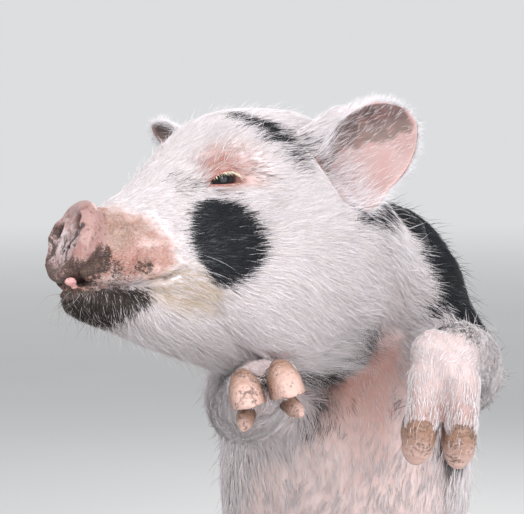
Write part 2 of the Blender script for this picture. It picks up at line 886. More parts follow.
@dataclass(frozen=True)
class HideFinish:
    """Living skin: the painted tint with pores, fine creases and dried dirt."""

    roughness: float = 0.55
    pore: float = 0.0011
    crease: float = 0.0045
    mud: tuple = tuple(srgb(30, 24, 22))
    dry_mud: tuple = tuple(srgb(86, 66, 56))

    def material(self) -> Material:
        """Make the finish.

        Returns:
            The material.
        """
        shader = Shader(
            "hide skin",
            Subsurface_Weight=0.1,
            Subsurface_Radius=(0.005, 0.0025, 0.0018),
            Subsurface_Scale=1.0,
        )
        grime = shader.number("grime")
        fine = shader.grain(self.crease, 6.0)
        blotch = shader.grain(0.012, 5.0)
        tint = shader.glaze(shader.tint("tint"), (0.9, 0.74, 0.68), blotch.step(0.4, 0.75) * 0.35)
        tint = shader.glaze(tint, (1.0, 0.86, 0.8), fine.step(0.52, 0.8) * 0.3)
        tint = shader.glaze(tint, (0.66, 0.54, 0.47), grime.step(0.05, 0.65) * 0.65)
        bare = shader.number("bare")
        wander = (shader.grain(0.0085, 3.0) - 0.5).maths("ABSOLUTE").step(0.0, 0.045)
        crinkle = wander * 0.6 + (shader.grain(0.0038, 4.0) - 0.5).maths("ABSOLUTE").step(0.0, 0.07) * 0.4
        speckle = shader.grain(0.0016, 5.0).step(0.48, 0.64)
        tint = shader.glaze(tint, (0.66, 0.52, 0.48), (1.0 - crinkle) * bare * 0.6)
        tint = shader.glaze(tint, (0.74, 0.62, 0.57), speckle * bare * 0.6)
        clods = shader.grain(0.0024, 4.0) * 0.42 + shader.grain(0.001, 3.0) * 0.3
        clods = clods + shader.grain(0.0065, 3.0) * 0.28
        crust = (clods + grime * 0.6 - 0.79).step(-0.055, 0.055)
        flecks = shader.grain(0.003, 5.0) * 0.5 + shader.grain(0.0011, 3.0) * 0.5
        mud = shader.blend(self.mud, self.dry_mud, flecks.step(0.46, 0.6))
        shader.feed(
            Base_Color=shader.blend(tint, mud, crust * 0.9),
            Roughness=(crust * 0.3 + self.roughness) + (fine - 0.5) * 0.15,
        )
        height = shader.grain(self.pore, 3.0) * 0.25 + fine * 0.5 + crust * 0.55 + crinkle * bare * 0.45
        shader.bump(height, 0.001, 0.85)
        return shader.material


@dataclass(frozen=True)
class CoatFinish:
    """Bristles: the colour of each, with a soft gloss along it."""

    roughness: float = 0.42

    def material(self) -> Material:
        """Make the finish.

        Returns:
            The material.
        """
        shader = Shader("bristle coat", Specular_IOR_Level=0.22, Roughness=self.roughness)
        shader.feed(Base_Color=shader.tint("tint"))
        return shader.material


@dataclass(frozen=True)
class SnoutFinish:
    """Bare moist skin with grey dirt in its cracks and mud along its lower edge."""

    dirt: tuple = tuple(srgb(74, 68, 72))
    mud: tuple = tuple(srgb(32, 25, 23))
    dry_mud: tuple = tuple(srgb(104, 78, 68))

    def material(self) -> Material:
        """Make the finish.

        Returns:
            The material.
        """
        shader = Shader(
            "snout skin",
            Subsurface_Weight=0.12,
            Subsurface_Radius=(0.004, 0.002, 0.0015),
            Subsurface_Scale=1.0,
        )
        grime, crack = shader.number("grime"), shader.number("crack")
        broad = shader.grain(0.007, 5.0)
        fine = shader.grain(0.002, 6.0)
        base = shader.glaze(shader.tint("tint"), (0.7, 0.5, 0.46), fine.step(0.46, 0.7) * 0.5)
        base = shader.glaze(base, (0.7, 0.52, 0.46), broad.step(0.46, 0.64) * 0.65)
        flecks = shader.grain(0.0042, 6.0).step(0.56, 0.62)
        base = shader.blend(base, self.dry_mud, flecks * 0.6)
        clods = fine * 0.36 + broad * 0.26 + shader.grain(0.001, 3.0) * 0.38
        crust = (clods + grime * 0.56 - 0.77).step(-0.05, 0.05)
        lines = (crack + (fine - 0.5) * 1.0).step(0.36, 0.58)
        base = shader.blend(base, self.dirt, lines * 0.88)
        dry = (fine * 0.5 + shader.grain(0.0009, 3.0) * 0.5).step(0.44, 0.6)
        mud = shader.blend(self.mud, self.dry_mud, dry)
        base = shader.blend(base, mud, crust * 0.9)
        base = shader.blend(base, (0.012, 0.008, 0.007), shader.number("hollow"))
        shader.feed(Base_Color=base, Roughness=(lines * 0.2 + crust * 0.3) + 0.36)
        height = fine * 0.3 + broad * 0.3 + crust * 0.35 + shader.grain(0.0009, 2.0) * 0.25
        shader.bump(height, 0.0006, 0.8)
        return shader.material


@dataclass(frozen=True)
class EarFinish:
    """Thin warm skin with pigment blotches, light showing through."""

    def material(self) -> Material:
        """Make the finish.

        Returns:
            The material.
        """
        shader = Shader(
            "ear skin",
            Subsurface_Weight=0.25,
            Subsurface_Radius=(0.008, 0.003, 0.002),
            Subsurface_Scale=1.0,
            Roughness=0.55,
        )
        fine = shader.grain(0.0025, 6.0)
        veins = shader.grain(0.01, 6.0)
        tint = shader.blend(shader.tint("tint"), (0.45, 0.16, 0.13), veins.step(0.5, 0.8) * 0.28)
        shader.feed(Base_Color=shader.glaze(tint, (0.9, 0.8, 0.76), fine.step(0.5, 0.8) * 0.35))
        shader.bump(fine * 0.5 + veins * 0.5, 0.001, 0.7)
        return shader.material


@dataclass(frozen=True)
class EyeFinish:
    """A wet dark brown eye: pupil, iris and the brown edge of the white."""

    white: tuple = tuple(srgb(58, 42, 38))
    iris: tuple = tuple(srgb(42, 32, 30))
    edge: tuple = tuple(srgb(20, 14, 12))
    pupil: tuple = (0.004, 0.005, 0.007)

    def material(self) -> Material:
        """Make the finish.

        Returns:
            The material.
        """
        shader = Shader(
            "wet eye",
            Roughness=0.3,
            Coat_Weight=0.24,
            Coat_Roughness=0.02,
            Coat_Tint=(0.72, 0.86, 1.0, 1.0),
            Specular_IOR_Level=0.1,
        )
        ring = shader.number("ring")
        rays = shader.grain(0.0012, 5.0)
        iris = shader.blend(self.iris, self.edge, rays.step(0.35, 0.7) * 0.6)
        iris = shader.blend(self.pupil, iris, ring.step(0.34, 0.42))
        iris = shader.blend(iris, self.edge, ring.step(0.58, 0.68))
        shader.feed(Base_Color=shader.blend(iris, self.white, ring.step(0.74, 0.88)))
        return shader.material


@dataclass(frozen=True)
class LidFinish:
    """The moist red edge of the lids."""

    colour: tuple = tuple(srgb(170, 106, 98))

    def material(self) -> Material:
        """Make the finish.

        Returns:
            The material.
        """
        shader = Shader(
            "lid edge",
            Subsurface_Weight=0.1,
            Subsurface_Radius=(0.003, 0.001, 0.001),
            Subsurface_Scale=1.0,
        )
        fine = shader.grain(0.0014, 4.0)
        shader.feed(
            Base_Color=shader.blend(self.colour, tuple(srgb(96, 62, 56)), fine.step(0.4, 0.7) * 0.6),
            Roughness=fine * 0.2 + 0.28,
        )
        shader.bump(fine, 0.0004, 0.6)
        return shader.material


@dataclass(frozen=True)
class ClawFinish:
    """Horn: tan at the coronet, pale at the tip, with growth rings and caked dirt."""

    horn: tuple = tuple(srgb(148, 114, 96))
    pale: tuple = tuple(srgb(204, 170, 160))
    brown: tuple = tuple(srgb(110, 80, 66))
    soil: tuple = tuple(srgb(48, 36, 30))

    def material(self) -> Material:
        """Make the finish.

        Returns:
            The material.
        """
        shader = Shader(
            "trotter horn",
            Subsurface_Weight=0.06,
            Subsurface_Radius=(0.003, 0.002, 0.001),
            Subsurface_Scale=1.0,
        )
        along = shader.number("along")
        ring = shader.number("growth")
        broad = shader.grain(0.008, 5.0)
        fine = shader.grain(0.0018, 5.0)
        base = shader.blend(self.brown, self.horn, (along + broad * 0.6).step(0.3, 0.8))
        base = shader.blend(base, self.pale, (along + (broad - 0.5) * 0.7).step(0.45, 0.92) * 0.9)
        soil = (fine * 0.45 + broad * 0.55 - along * 0.08).step(0.43, 0.58)
        base = shader.blend(base, self.soil, soil * 0.75)
        shader.feed(Base_Color=base, Roughness=fine * 0.25 + 0.4)
        rings = (ring * 60.0).maths("SINE") * 0.18
        shader.bump(rings + fine * 0.5 + broad * 0.3, 0.0009, 0.8)
        return shader.material


@dataclass(frozen=True)
class BaseFinish:
    """Satin stained oak for the base."""

    light: tuple = tuple(srgb(122, 104, 86))
    dark: tuple = tuple(srgb(78, 62, 50))

    def material(self) -> Material:
        """Make the finish.

        Returns:
            The material.
        """
        shader = Shader("stained oak", Coat_Weight=0.15, Coat_Roughness=0.3)
        spot = shader.places((1.0, 0.06, 1.0))
        grain = shader.grain(0.006, 8.0, spot, 0.65)
        pores = shader.grain(0.0009, 3.0, spot)
        base = shader.blend(self.dark, self.light, grain.step(0.35, 0.65))
        base = shader.blend(base, tuple(0.5 * c for c in self.dark), pores.step(0.58, 0.72) * 0.7)
        shader.feed(Base_Color=base, Roughness=grain * 0.2 + 0.38)
        shader.bump(grain * 0.5 - pores.step(0.58, 0.72) * 0.5, 0.0006, 0.6)
        return shader.material


# Outlines of the markings on the left of the head, seen from its side: forward and up
CHEEK_PATCH = (
    (-0.091, 0.021), (-0.103, 0.017), (-0.11, 0.012), (-0.118, 0.004), (-0.126, -0.008),
    (-0.128, -0.019), (-0.121, -0.03), (-0.112, -0.038), (-0.101, -0.045), (-0.094, -0.047),
    (-0.085, -0.04), (-0.08, -0.03), (-0.075, -0.02), (-0.072, -0.01), (-0.073, -0.001),
    (-0.078, 0.011), (-0.084, 0.019),
)  # fmt: skip
EAR_FRONT = (
    (-0.156, 0.066), (-0.174, 0.071), (-0.188, 0.062), (-0.186, 0.046), (-0.17, 0.036), (-0.155, 0.044),
)  # fmt: skip
EAR_TUFT = ((-0.203, 0.012), (-0.264, 0.018), (-0.262, -0.004), (-0.23, -0.007), (-0.206, -0.003))
JOWL_GREY = ((-0.208, -0.083), (-0.232, -0.082), (-0.256, -0.09), (-0.25, -0.106), (-0.222, -0.106))
EYE_RED = (
    (-0.086, 0.04), (-0.089, 0.053), (-0.101, 0.061), (-0.117, 0.061), (-0.132, 0.053),
    (-0.138, 0.039), (-0.13, 0.027), (-0.115, 0.025), (-0.096, 0.027),
)  # fmt: skip
EYE_SMOKE = (
    (-0.072, 0.042), (-0.09, 0.038), (-0.092, 0.027), (-0.118, 0.024), (-0.114, 0.017),
    (-0.085, 0.018), (-0.073, 0.027),
)  # fmt: skip
EYE_SHADE = ((-0.126, 0.052), (-0.139, 0.046), (-0.143, 0.03), (-0.134, 0.025), (-0.13, 0.038))
MUD = (
    (0.04, -0.024), (0.02, -0.028), (0.006, -0.0345), (-0.01, -0.038), (-0.03, -0.04),
    (-0.043, -0.041), (-0.042, -0.05), (-0.028, -0.06), (-0.008, -0.066), (0.014, -0.062),
    (0.03, -0.05),
)  # fmt: skip
GROOVE = ((0.01, -0.008), (-0.01, -0.006), (-0.016, -0.013), (-0.013, -0.024), (0.006, -0.028), (0.02, -0.022))
CRUST = (
    (0.016, -0.018), (-0.01, -0.014), (-0.03, -0.018), (-0.046, -0.025), (-0.052, -0.033),
    (-0.03, -0.038), (0.004, -0.037), (0.02, -0.031),
)  # fmt: skip
SMUDGE = ((-0.004, 0.02), (-0.03, 0.016), (-0.04, 0.002), (-0.028, -0.01), (-0.01, -0.008), (0.004, 0.004))
STAIN = (
    (-0.043, -0.026), (-0.056, -0.023), (-0.074, -0.03), (-0.09, -0.042), (-0.086, -0.058),
    (-0.063, -0.058), (-0.046, -0.046),
)  # fmt: skip
# Greyer areas: outline, softness of the edge, strength
GREY_AREAS = (
    (EAR_FRONT, 0.008, 0.42),
    (EAR_TUFT, 0.006, 0.75),
    (JOWL_GREY, 0.006, 0.55),
    (EYE_SMOKE, 0.006, 0.24),
    (EYE_SHADE, 0.006, 0.34),
)
# Tinted and dirty areas on both sides: outline, raggedness, and where the edge begins and ends
AREAS = {
    "red": (EYE_RED, 0.5, -0.006, 0.007),
    "mud": (MUD, 0.7, -0.006, 0.004),
    "crust": (CRUST, 1.0, -0.007, 0.005),
    "groove": (GROOVE, 0.6, -0.005, 0.003),
    "smudge": (SMUDGE, 1.0, -0.01, 0.006),
    "stain": (STAIN, 1.0, -0.012, 0.006),
}
# Where the bare muzzle ends: up, forward
BARE_EDGE = (
    (-0.12, 0.06), (-0.044, 0.06), (-0.038, 0.01), (-0.033, -0.053), (-0.024, -0.062), (-0.011, -0.059),
    (0.002, -0.052), (0.013, -0.042), (0.02, -0.031), (0.026, -0.022), (0.034, -0.012),
)  # fmt: skip
# Small soft streaks on the crown: the two ends of each, in the head's frame, and half the width
CROWN_SPOTS = (
    ((-0.137, 0.0225, 0.087), (-0.14, 0.032, 0.0805), 0.006),
    ((-0.147, 0.0365, 0.0775), (-0.1585, 0.0435, 0.072), 0.008),
    ((-0.1515, 0.045, 0.0675), (-0.164, 0.049, 0.0625), 0.0064),
)
# The brown patch on the chest, seen from the front: left and up in the world
CHEST_PATCH = (
    (-0.056, 0.574), (-0.034, 0.579), (-0.013, 0.569), (-0.004, 0.549), (-0.007, 0.53),
    (-0.024, 0.512), (-0.05, 0.516), (-0.064, 0.545),
)  # fmt: skip
# The front edge of the black saddle: height over the spine, place along it
SADDLE_EDGE = (
    (-0.11, 0.02), (-0.064, -0.046), (-0.053, -0.056), (-0.039, -0.064), (-0.025, -0.08),
    (-0.007, -0.09), (0.02, -0.104), (0.07, -0.112),
)  # fmt: skip
# Round black patches of the trunk: left, along the spine, over it, and how far each reaches
BODY_PATCHES = (
    (-0.075, 0.205, 0.045, 0.05),
    (0.06, 0.345, 0.05, 0.044),
    (-0.1, 0.09, -0.02, 0.024),
    (0.106, 0.29, -0.03, 0.028),
)


@dataclass
class Marks:
    """Shares from 0 to 1 of each marking, and where each place lies."""

    black: Array
    red: Array
    bare: Array
    mud: Array
    crust: Array
    groove: Array
    smudge: Array
    stain: Array
    chest: Array
    breast: Array
    head: Array
    trunk: Array
    on_head: Array
    limb: Array
    limb_share: Array
    limb_way: Array
    limb_index: Array
    limb_out: Array

    @property
    def fore(self) -> Array:
        """Whether each place's limb is a foreleg, where it has one."""
        return self.limb_index < 2

    @property
    def legs(self) -> Array:
        """Whether each place's limb is a leg, where it has one."""
        return self.limb_index < len(FEET)

    @property
    def off_head(self) -> Array:
        """How much each place belongs to the body behind the head."""
        return 1.0 - self.on_head

    @property
    def torso(self) -> Array:
        """How much each place belongs to the neck and trunk alone."""
        return self.off_head * (1.0 - self.limb)


class Markings:
    """The pig's colours, read the same way by the skin and by every bristle."""

    WHITE = srgb(247, 242, 246)
    BLACK = srgb(26, 29, 34)
    PINK = srgb(228, 198, 196)
    WARM = srgb(218, 182, 176)
    RED = srgb(142, 78, 62)
    MUZZLE = srgb(172, 148, 141)
    GREY_SKIN = srgb(52, 54, 60)
    MUD_HAIR = srgb(46, 40, 37)
    STAIN_HAIR = srgb(196, 172, 134)
    CHEST = srgb(92, 72, 66)
    LEG = srgb(188, 168, 167)
    TOE = srgb(158, 122, 114)
    EYE_FRONT = srgb(168, 148, 144)
    ROSY = srgb(174, 131, 122)
    BLUSH = srgb(164, 122, 108)
    PALE = srgb(214, 192, 188)
    DULL = srgb(150, 124, 108)
    BELLY = srgb(222, 190, 182)
    BREAST = srgb(172, 122, 110)
    RUDDY_HAIR = srgb(176, 124, 102)
    DULL_HAIR = srgb(122, 106, 94)
    LASH = srgb(240, 228, 204)
    LIP_LINE = srgb(86, 52, 48)
    LID_RIM = srgb(120, 76, 68)
    EYE_CORNER = srgb(120, 96, 90)
    PINK_LIP = srgb(214, 164, 164)

    def read(self, points: Array) -> Marks:
        """Work out every marking.

        Args:
            points: places on the skin, one a row.

        Returns:
            The shares of each marking.
        """
        head, trunk = placed(points, HEAD), placed(points, TRUNK)
        forward, across, up = head.T
        wobble = (mottle(points, 0.011, 1) - 0.5) * 0.009 + (mottle(points, 0.0035, 2) - 0.5) * 0.004
        side_view = np.column_stack([forward, up])
        left = ramp(across, -0.004, 0.006)
        crown = 0.04 * ramp(up, 0.03, 0.06)
        on_head = ramp(forward + crown, BACK_OF_HEAD, -0.205) * ramp(up, -0.125, -0.105)
        limb, share, way, index, out = self.read_limbs(points)

        black = ramp(within(side_view, CHEEK_PATCH) + wobble * 0.35, -0.0016, 0.0016) * left
        for start, end, width in CROWN_SPOTS:
            far = along_path(head, (start, end)).distance
            black = np.maximum(black, ramp(far / width + wobble * 60, 1.35, 0.55) * 0.94)
        for outline, soft, strength in GREY_AREAS:
            grey = ramp(within(side_view, outline) + wobble, -soft, soft) * strength * left
            black = np.maximum(black, grey)
        black = np.maximum(black, self.body_black(trunk, wobble, limb))

        edge = np.interp(up, *np.transpose(BARE_EDGE))
        bare = ramp(forward - edge + wobble * 0.9, -0.01, 0.009) * on_head
        breast = ramp(points[:, 1], 0.0, -0.02) * ramp(points[:, 2], 0.6, 0.585)
        breast = breast * ramp(points[:, 2] + wobble * 3.0, 0.485, 0.545)
        chest = ramp(within(points[:, [0, 2]], CHEST_PATCH) + wobble * 0.5, -0.002, 0.002)
        chest = chest * ramp(points[:, 1], -0.005, -0.02)
        areas = {
            name: ramp(within(side_view, outline) + wobble * stir, low, high) * on_head
            for name, (outline, stir, low, high) in AREAS.items()
        }
        return Marks(
            **areas,
            black=black * (1.0 - bare),
            bare=bare,
            chest=chest * (1.0 - limb),
            breast=breast * (1.0 - limb) * (1.0 - on_head),
            head=head,
            trunk=trunk,
            on_head=on_head,
            limb=limb,
            limb_share=share,
            limb_way=way,
            limb_index=index,
            limb_out=out,
        )

    @staticmethod
    def body_black(trunk: Array, wobble: Array, limb: Array) -> Array:
        """The saddle over the left shoulder and the patches on the flanks and rump.

        Args:
            trunk: places in the trunk's frame, one a row.
            wobble: the raggedness of the edges at each place, in metres.
            limb: how much each place belongs to a limb.

        Returns:
            How black each place is, from 0 to 1.
        """
        swing = wobble * 1.3
        edge = np.interp(trunk[:, 2], *np.transpose(SADDLE_EDGE))
        out = ramp(trunk[:, 1] - edge + swing, -0.005, 0.005)
        for axis, low, high in ((1, 0.118, 0.106), (0, -0.034, -0.026), (2, -0.1, -0.09)):
            out *= ramp(trunk[:, axis] + swing * 3.0, low, high)
        out *= 1.0 - ramp(limb, 0.35, 0.75)
        for *middle, reach in BODY_PATCHES:
            far = np.linalg.norm(trunk - middle, axis=1)
            out = np.maximum(out, ramp(far + swing * 3.0, reach * 1.12, reach * 0.96))
        return out

    @staticmethod
    def read_limbs(points: Array) -> tuple[Array, ...]:
        """How much each place belongs to a leg or the tail, where, which way it runs, which side.

        Args:
            points: places in the world, one a row.

        Returns:
            The weight, the share of the length, the way along, the limb's number and the way out.
        """
        weight = np.zeros(len(points))
        share = np.zeros(len(points))
        way = np.zeros((len(points), 3))
        index = np.full(len(points), -1)
        out = np.zeros((len(points), 3))
        for number, (name, stations) in enumerate(LIMBS.items()):
            path = [Vector(place) for place, _ in stations]
            widths = [radius for _, radius in stations]
            if name in FEET:
                path.append(path[-1] + Vector(FEET[name][0]).normalized() * 0.05)
                widths.append(widths[-1])
            reading = along_path(points, path, widths)
            near = ramp(reading.distance / reading.width, 1.75, 1.25) * ramp(reading.share, 0.05, 0.34)
            better = near > weight
            weight[better] = near[better]
            share[better] = reading.share[better]
            way[better] = reading.way[better]
            index[better] = number
            out[better] = unit(points[better] - reading.nearest[better])
        return weight, share, way, index, out

    @staticmethod
    def bare_front(marks: Marks) -> Array:
        """How far each place lies on the smooth bare front of a foreleg's pastern.

        Args:
            marks: the markings at each place.

        Returns:
            The share at each place.
        """
        fronts = np.zeros((len(LIMBS), 3))
        for row, (_, front) in zip(fronts, FEET.values()):
            row[:] = Vector(front).normalized()
        facing = (marks.limb_out * fronts[marks.limb_index]).sum(1)
        where = marks.limb * ramp(marks.limb_share, 0.7, 0.82) * (marks.limb_index >= 0) * marks.fore
        return ramp(facing, 0.2, 0.65) * where

    def skin(self, marks: Marks, points: Array) -> Array:
        """Work out the colour of the skin itself.

        Args:
            marks: the markings at the places.
            points: places on the skin, one a row.

        Returns:
            The colours, one a row.
        """
        forward, _, up = marks.head.T
        cover = 0.8 - 0.45 * ramp(up, -0.02, -0.08) * marks.on_head
        cover = cover * (marks.off_head * 0.9 + marks.on_head)
        toes = marks.limb * ramp(marks.limb_share, 0.84, 0.95) * marks.legs
        ring = hump(np.hypot(forward + 0.1, up - 0.036), 0.0, 0.03, 4) * marks.on_head
        front = hump(forward, -0.08, 0.012) * hump(up, 0.035, 0.012) * marks.on_head
        rosy = ramp(up, 0.004, -0.016) * (0.4 + 0.6 * mottle(points, 0.011, 62))
        blush = ramp(mottle(points, 0.0065, 64) * 0.6 + mottle(points, 0.0028, 65) * 0.4, 0.44, 0.66)
        pale = ramp(mottle(points, 0.009, 67), 0.52, 0.68)
        dull = marks.smudge * (0.35 + 0.65 * ramp(mottle(points, 0.006, 63), 0.35, 0.7))
        belly = ramp(marks.trunk[:, 2], -0.05, -0.085) * marks.torso
        return painted(
            mix(self.PINK, self.WARM, mottle(points, 0.035, 3)),
            (self.WHITE * 0.9, cover),
            (self.LEG, marks.limb * ramp(marks.limb_share, 0.55, 0.8) * 0.9),
            (self.TOE, toes * (0.45 + 0.4 * mottle(points, 0.012, 4))),
            (self.RED, marks.red * (0.75 + 0.25 * mottle(points, 0.007, 61)) * ring),
            (self.EYE_FRONT, front * 0.6),
            (self.MUZZLE, marks.bare),
            (self.ROSY, marks.bare * rosy),
            (self.BLUSH, marks.bare * blush * 0.65),
            (self.PALE, marks.bare * pale * 0.55),
            (self.DULL, dull * 0.75),
            (self.BELLY, belly * 0.6),
            (self.BREAST, marks.breast * (0.75 + 0.2 * mottle(points, 0.01, 66))),
            (self.CHEST, marks.chest * 0.95),
            (self.GREY_SKIN, marks.black * 0.96),
        )

    def bristles(self, marks: Marks, random: np.random.Generator) -> tuple[Array, Array]:
        """The colours of bristles at their roots and tips.

        Args:
            marks: the markings at the roots.
            random: the seeded draw.

        Returns:
            Root colours and tip colours, one a row.
        """
        count = len(marks.black)
        dark = random.random(count) < np.clip(marks.black * 1.05 - 0.02, 0.0, 0.997)
        light = random.uniform(0.62, 1.0, count)[:, None]
        tip = self.WHITE * light * (1.0 - 0.3 * marks.mud[:, None])
        yellow = random.random(count) * marks.stain
        tip = mix(tip, self.STAIN_HAIR, yellow)
        tip = mix(tip, self.STAIN_HAIR, random.random(count) ** 3 * 0.3)
        ruddy = marks.red * random.uniform(0.2, 0.95, count)
        tip = mix(tip, self.RUDDY_HAIR, ruddy)
        root = tip * np.array((0.84, 0.79, 0.79))
        shade = random.uniform(0.55, 1.7, count)[:, None]
        tip = np.where(dark[:, None], self.BLACK * shade, tip)
        root = np.where(dark[:, None], self.BLACK * 0.8, root)
        dirty = random.random(count) < marks.mud * 0.93 + marks.chest * 0.75
        tip = np.where(dirty[:, None], self.MUD_HAIR * shade, tip)
        root = np.where(dirty[:, None], self.MUD_HAIR, root)
        soft = marks.bare * 0.45
        return mix(root, self.MUZZLE, soft), mix(tip, self.MUZZLE, soft)


class Hide:
    """The one skin that takes the place of the flesh, with its folds, lids and lips."""

    def __init__(self, markings: Markings) -> None:
        """Keep the markings and the sizes for this run.

        Args:
            markings: the pig's colours.
        """
        self.markings = markings
        self.voxel = 0.0018
        self.ease_rounds = 11
        self.target_faces = 118000

    def flesh(self) -> Piece:
        """Every mass of the body as overlapping closed forms in one object.

        Returns:
            The object that holds them.
        """
        bm = bmesh.new()
        side, spine, back = (TRUNK.to_3x3() @ Vector(way) for way in ((1, 0, 0), (0, 1, 0), (0, 0, 1)))
        rings = [
            egg_ring(SHOULDER + spine * along, side, back, (half, above, below), 64, 2.15)
            for along, half, above, below in smooth_rows(list(TRUNK_SECTIONS), 5)
        ]
        loft(bm, rings)
        side, up = (HEAD.to_3x3() @ Vector(way) for way in ((0, 1, 0), (0, 0, 1)))
        for sections, power in ((HEAD_SECTIONS, 2.15), (JAW_SECTIONS, 2.3)):
            rings = [
                egg_ring(HEAD @ Vector((-back_by, 0, height)), side, up, (half, above, below), 64, power)
                for back_by, height, half, above, below in smooth_rows(list(sections), 4)
            ]
            loft(bm, rings)
        for sign in (1, -1):
            for middle, sizes in HEAD_FORMS.values():
                oval(bm, HEAD @ Matrix.Translation(mirrored(middle, sign)), sizes)
            for middle, sizes in TRUNK_FORMS.values():
                oval(bm, TRUNK @ Matrix.Translation((sign * middle[0], *middle[1:])), sizes)
            lid = EYE_RADIUS + LID_THICKNESS
            oval(bm, HEAD @ Matrix.Translation(mirrored(EYE_AT, sign)), tuple(lid * s for s in LID_STRETCH))
        oval(bm, HEAD @ Matrix.Translation(LIP_BULGE[0]), LIP_BULGE[1])
        for ear in EARS:
            limb(bm, ear.fold(), 4, 20)
        limb(bm, list(NECK), 4, 48)
        for stations in LIMBS.values():
            limb(bm, list(stations), 5, 32)
        for foot in FEET:
            self.toes(bm, foot)
        return new_object("skin", bm)

    @staticmethod
    def toes(bm: BMesh, foot: str) -> None:
        """Add the two fleshy toes of a foot, their heels and the roots of the dewclaws."""
        pastern = foot_frame(foot)
        for sign in (1, -1):
            claw = claw_frame(foot, sign)
            start = pastern @ Vector((sign * 0.0085, -0.012, 0.0))
            middle = pastern @ Vector((sign * 0.0115, 0.012, 0.001))
            inside = claw @ Vector((0.0, 0.016, CLAW_HEIGHT * 0.55))
            limb(bm, [(start, 0.015), (middle, 0.0135), (inside, 0.0112)], 4, 20)
            heel = claw @ Matrix.Translation((0.0, 0.003, CLAW_HEIGHT * 0.48))
            oval(bm, heel, (0.0108, 0.011, 0.0112), 20, 14)
            knuckle = pastern @ Vector((sign * 0.008, -0.006, -0.004))
            knob = pastern @ Vector((sign * 0.0138, 0.005, -0.013))
            limb(bm, [(knuckle, 0.0085), (knob, 0.007)], 3, 14)

    def melt(self) -> Piece:
        """Melt the forms into one smooth skin, thinner away from the head and feet.

        Returns:
            The skin.
        """
        thing = self.flesh()
        remesh = thing.modifiers.new("melt", "REMESH")
        remesh.mode = "VOXEL"
        remesh.voxel_size = self.voxel
        ease = thing.modifiers.new("ease", "SMOOTH")
        ease.factor = 0.5
        ease.iterations = self.ease_rounds
        thing = evaluated(thing)
        places = places_of(thing.data)
        head = placed(places, HEAD)
        keep = ramp(head[:, 0], -0.24, -0.19) * 0.9
        group = thing.vertex_groups.new(name="coarse")
        for level in (0.0, 0.3, 0.6, 0.9):
            chosen = np.nonzero(np.abs(keep - level) <= 0.15)[0].tolist()
            group.add(chosen, max(0.02, 1.0 - level), "REPLACE")
        thin = thing.modifiers.new("thin", "DECIMATE")
        thin.ratio = min(1.0, self.target_faces / (2.0 * len(thing.data.polygons)))
        thin.vertex_group = group.name
        thin.vertex_group_factor = 1.0
        thing = evaluated(thing)
        thing.vertex_groups.clear()
        return thing

    @staticmethod
    def refine(thing: Piece, rounds: int) -> None:
        """Split the faces round the eyes and along the mouth."""
        for turn in range(rounds):
            bm = bmesh.new()
            bm.from_mesh(thing.data)
            places = np.array([tuple(face.calc_center_median()) for face in bm.faces])
            head = folded(placed(places, HEAD))
            eye = np.linalg.norm(head - tuple(EYE_AT), axis=1) < 0.024 - 0.004 * turn
            mouth = along_path(head, MOUTH_LINE).distance < 0.008 - 0.003 * turn
            chosen = np.nonzero(eye | mouth)[0]
            bm.faces.ensure_lookup_table()
            edges = {edge for i in chosen for edge in bm.faces[i].edges}
            bmesh.ops.subdivide_edges(bm, edges=list(edges), cuts=1, use_grid_fill=True)
            bmesh.ops.triangulate(bm, faces=[face for face in bm.faces if len(face.verts) > 3])
            bm.to_mesh(thing.data)
            bm.free()

    @staticmethod
    def coat_depth(marks: Marks) -> Array:
        """How far the skin lies under the tips of the coat.

        Args:
            marks: the markings at each place.

        Returns:
            The depth at each place, in metres.
        """
        eye = np.linalg.norm(folded(marks.head) - tuple(EYE_AT), axis=1)
        near_eye = ramp(eye, 0.03, 0.018)
        depth = 0.003 - 0.0014 * marks.on_head
        depth = depth * (1.0 - marks.bare) * (1.0 - near_eye * 0.8)
        depth = depth * (1.0 - 0.8 * marks.limb * ramp(marks.limb_share, 0.45, 0.85))
        return depth + 0.0003

    def sculpt(self, thing: Piece) -> None:
        """Sink the skin under the coat, then press in the lids, lips, folds and creases.

        Args:
            thing: the piece, whose points move.
        """
        mesh = thing.data
        places, normals = places_of(mesh), normals_of(mesh)
        marks = self.markings.read(places)
        lumps = (mottle(places, 0.03, 5) - 0.5) * 0.0018 + (mottle(places, 0.009, 6) - 0.5) * 0.0006
        places += normals * (lumps * (1 - marks.bare * 0.5) - self.coat_depth(marks))[:, None]
        move_points(mesh, places)

        places, normals = places_of(mesh), normals_of(mesh)
        head = placed(places, HEAD)
        sign = np.where(head[:, 1] < 0, -1.0, 1.0)
        head = folded(head)
        lift = self.muzzle_folds(head) + self.lip_shape(head) + self.lid_folds(head)
        lift += self.leg_folds(places, marks) + self.chest_folds(places, marks)
        places += normals * lift[:, None]
        head = self.open_eye(folded(placed(places, HEAD)))
        head[:, 1] *= sign
        places = head @ np.array(HEAD.to_3x3()).T + np.array(HEAD.translation)
        for ear in EARS:
            places = ear.clear(places)
        move_points(mesh, places)

    @staticmethod
    def muzzle_folds(head: Array) -> Array:
        """Creases round the muzzle behind the disc and along its side.

        Args:
            head: places in the head's frame, one a row, the right side turned onto the left.

        Returns:
            How far each place rises, in metres.
        """
        forward = head[:, 0] + 0.35 * np.maximum(0.0, head[:, 2])
        on_muzzle = ramp(head[:, 0], -0.07, -0.045) * ramp(head[:, 2], -0.04, -0.03)
        waves = np.zeros(len(head))
        for place, depth, width in MUZZLE_CREASES:
            bend = place + (mottle(head, 0.014, 8) - 0.5) * 0.007
            waves -= depth * hump(forward, bend, width)
        pad = 0.0016 * hump(head[:, 0], -0.032, 0.014) * hump(head[:, 2], -0.008, 0.013)
        return (waves + pad) * on_muzzle

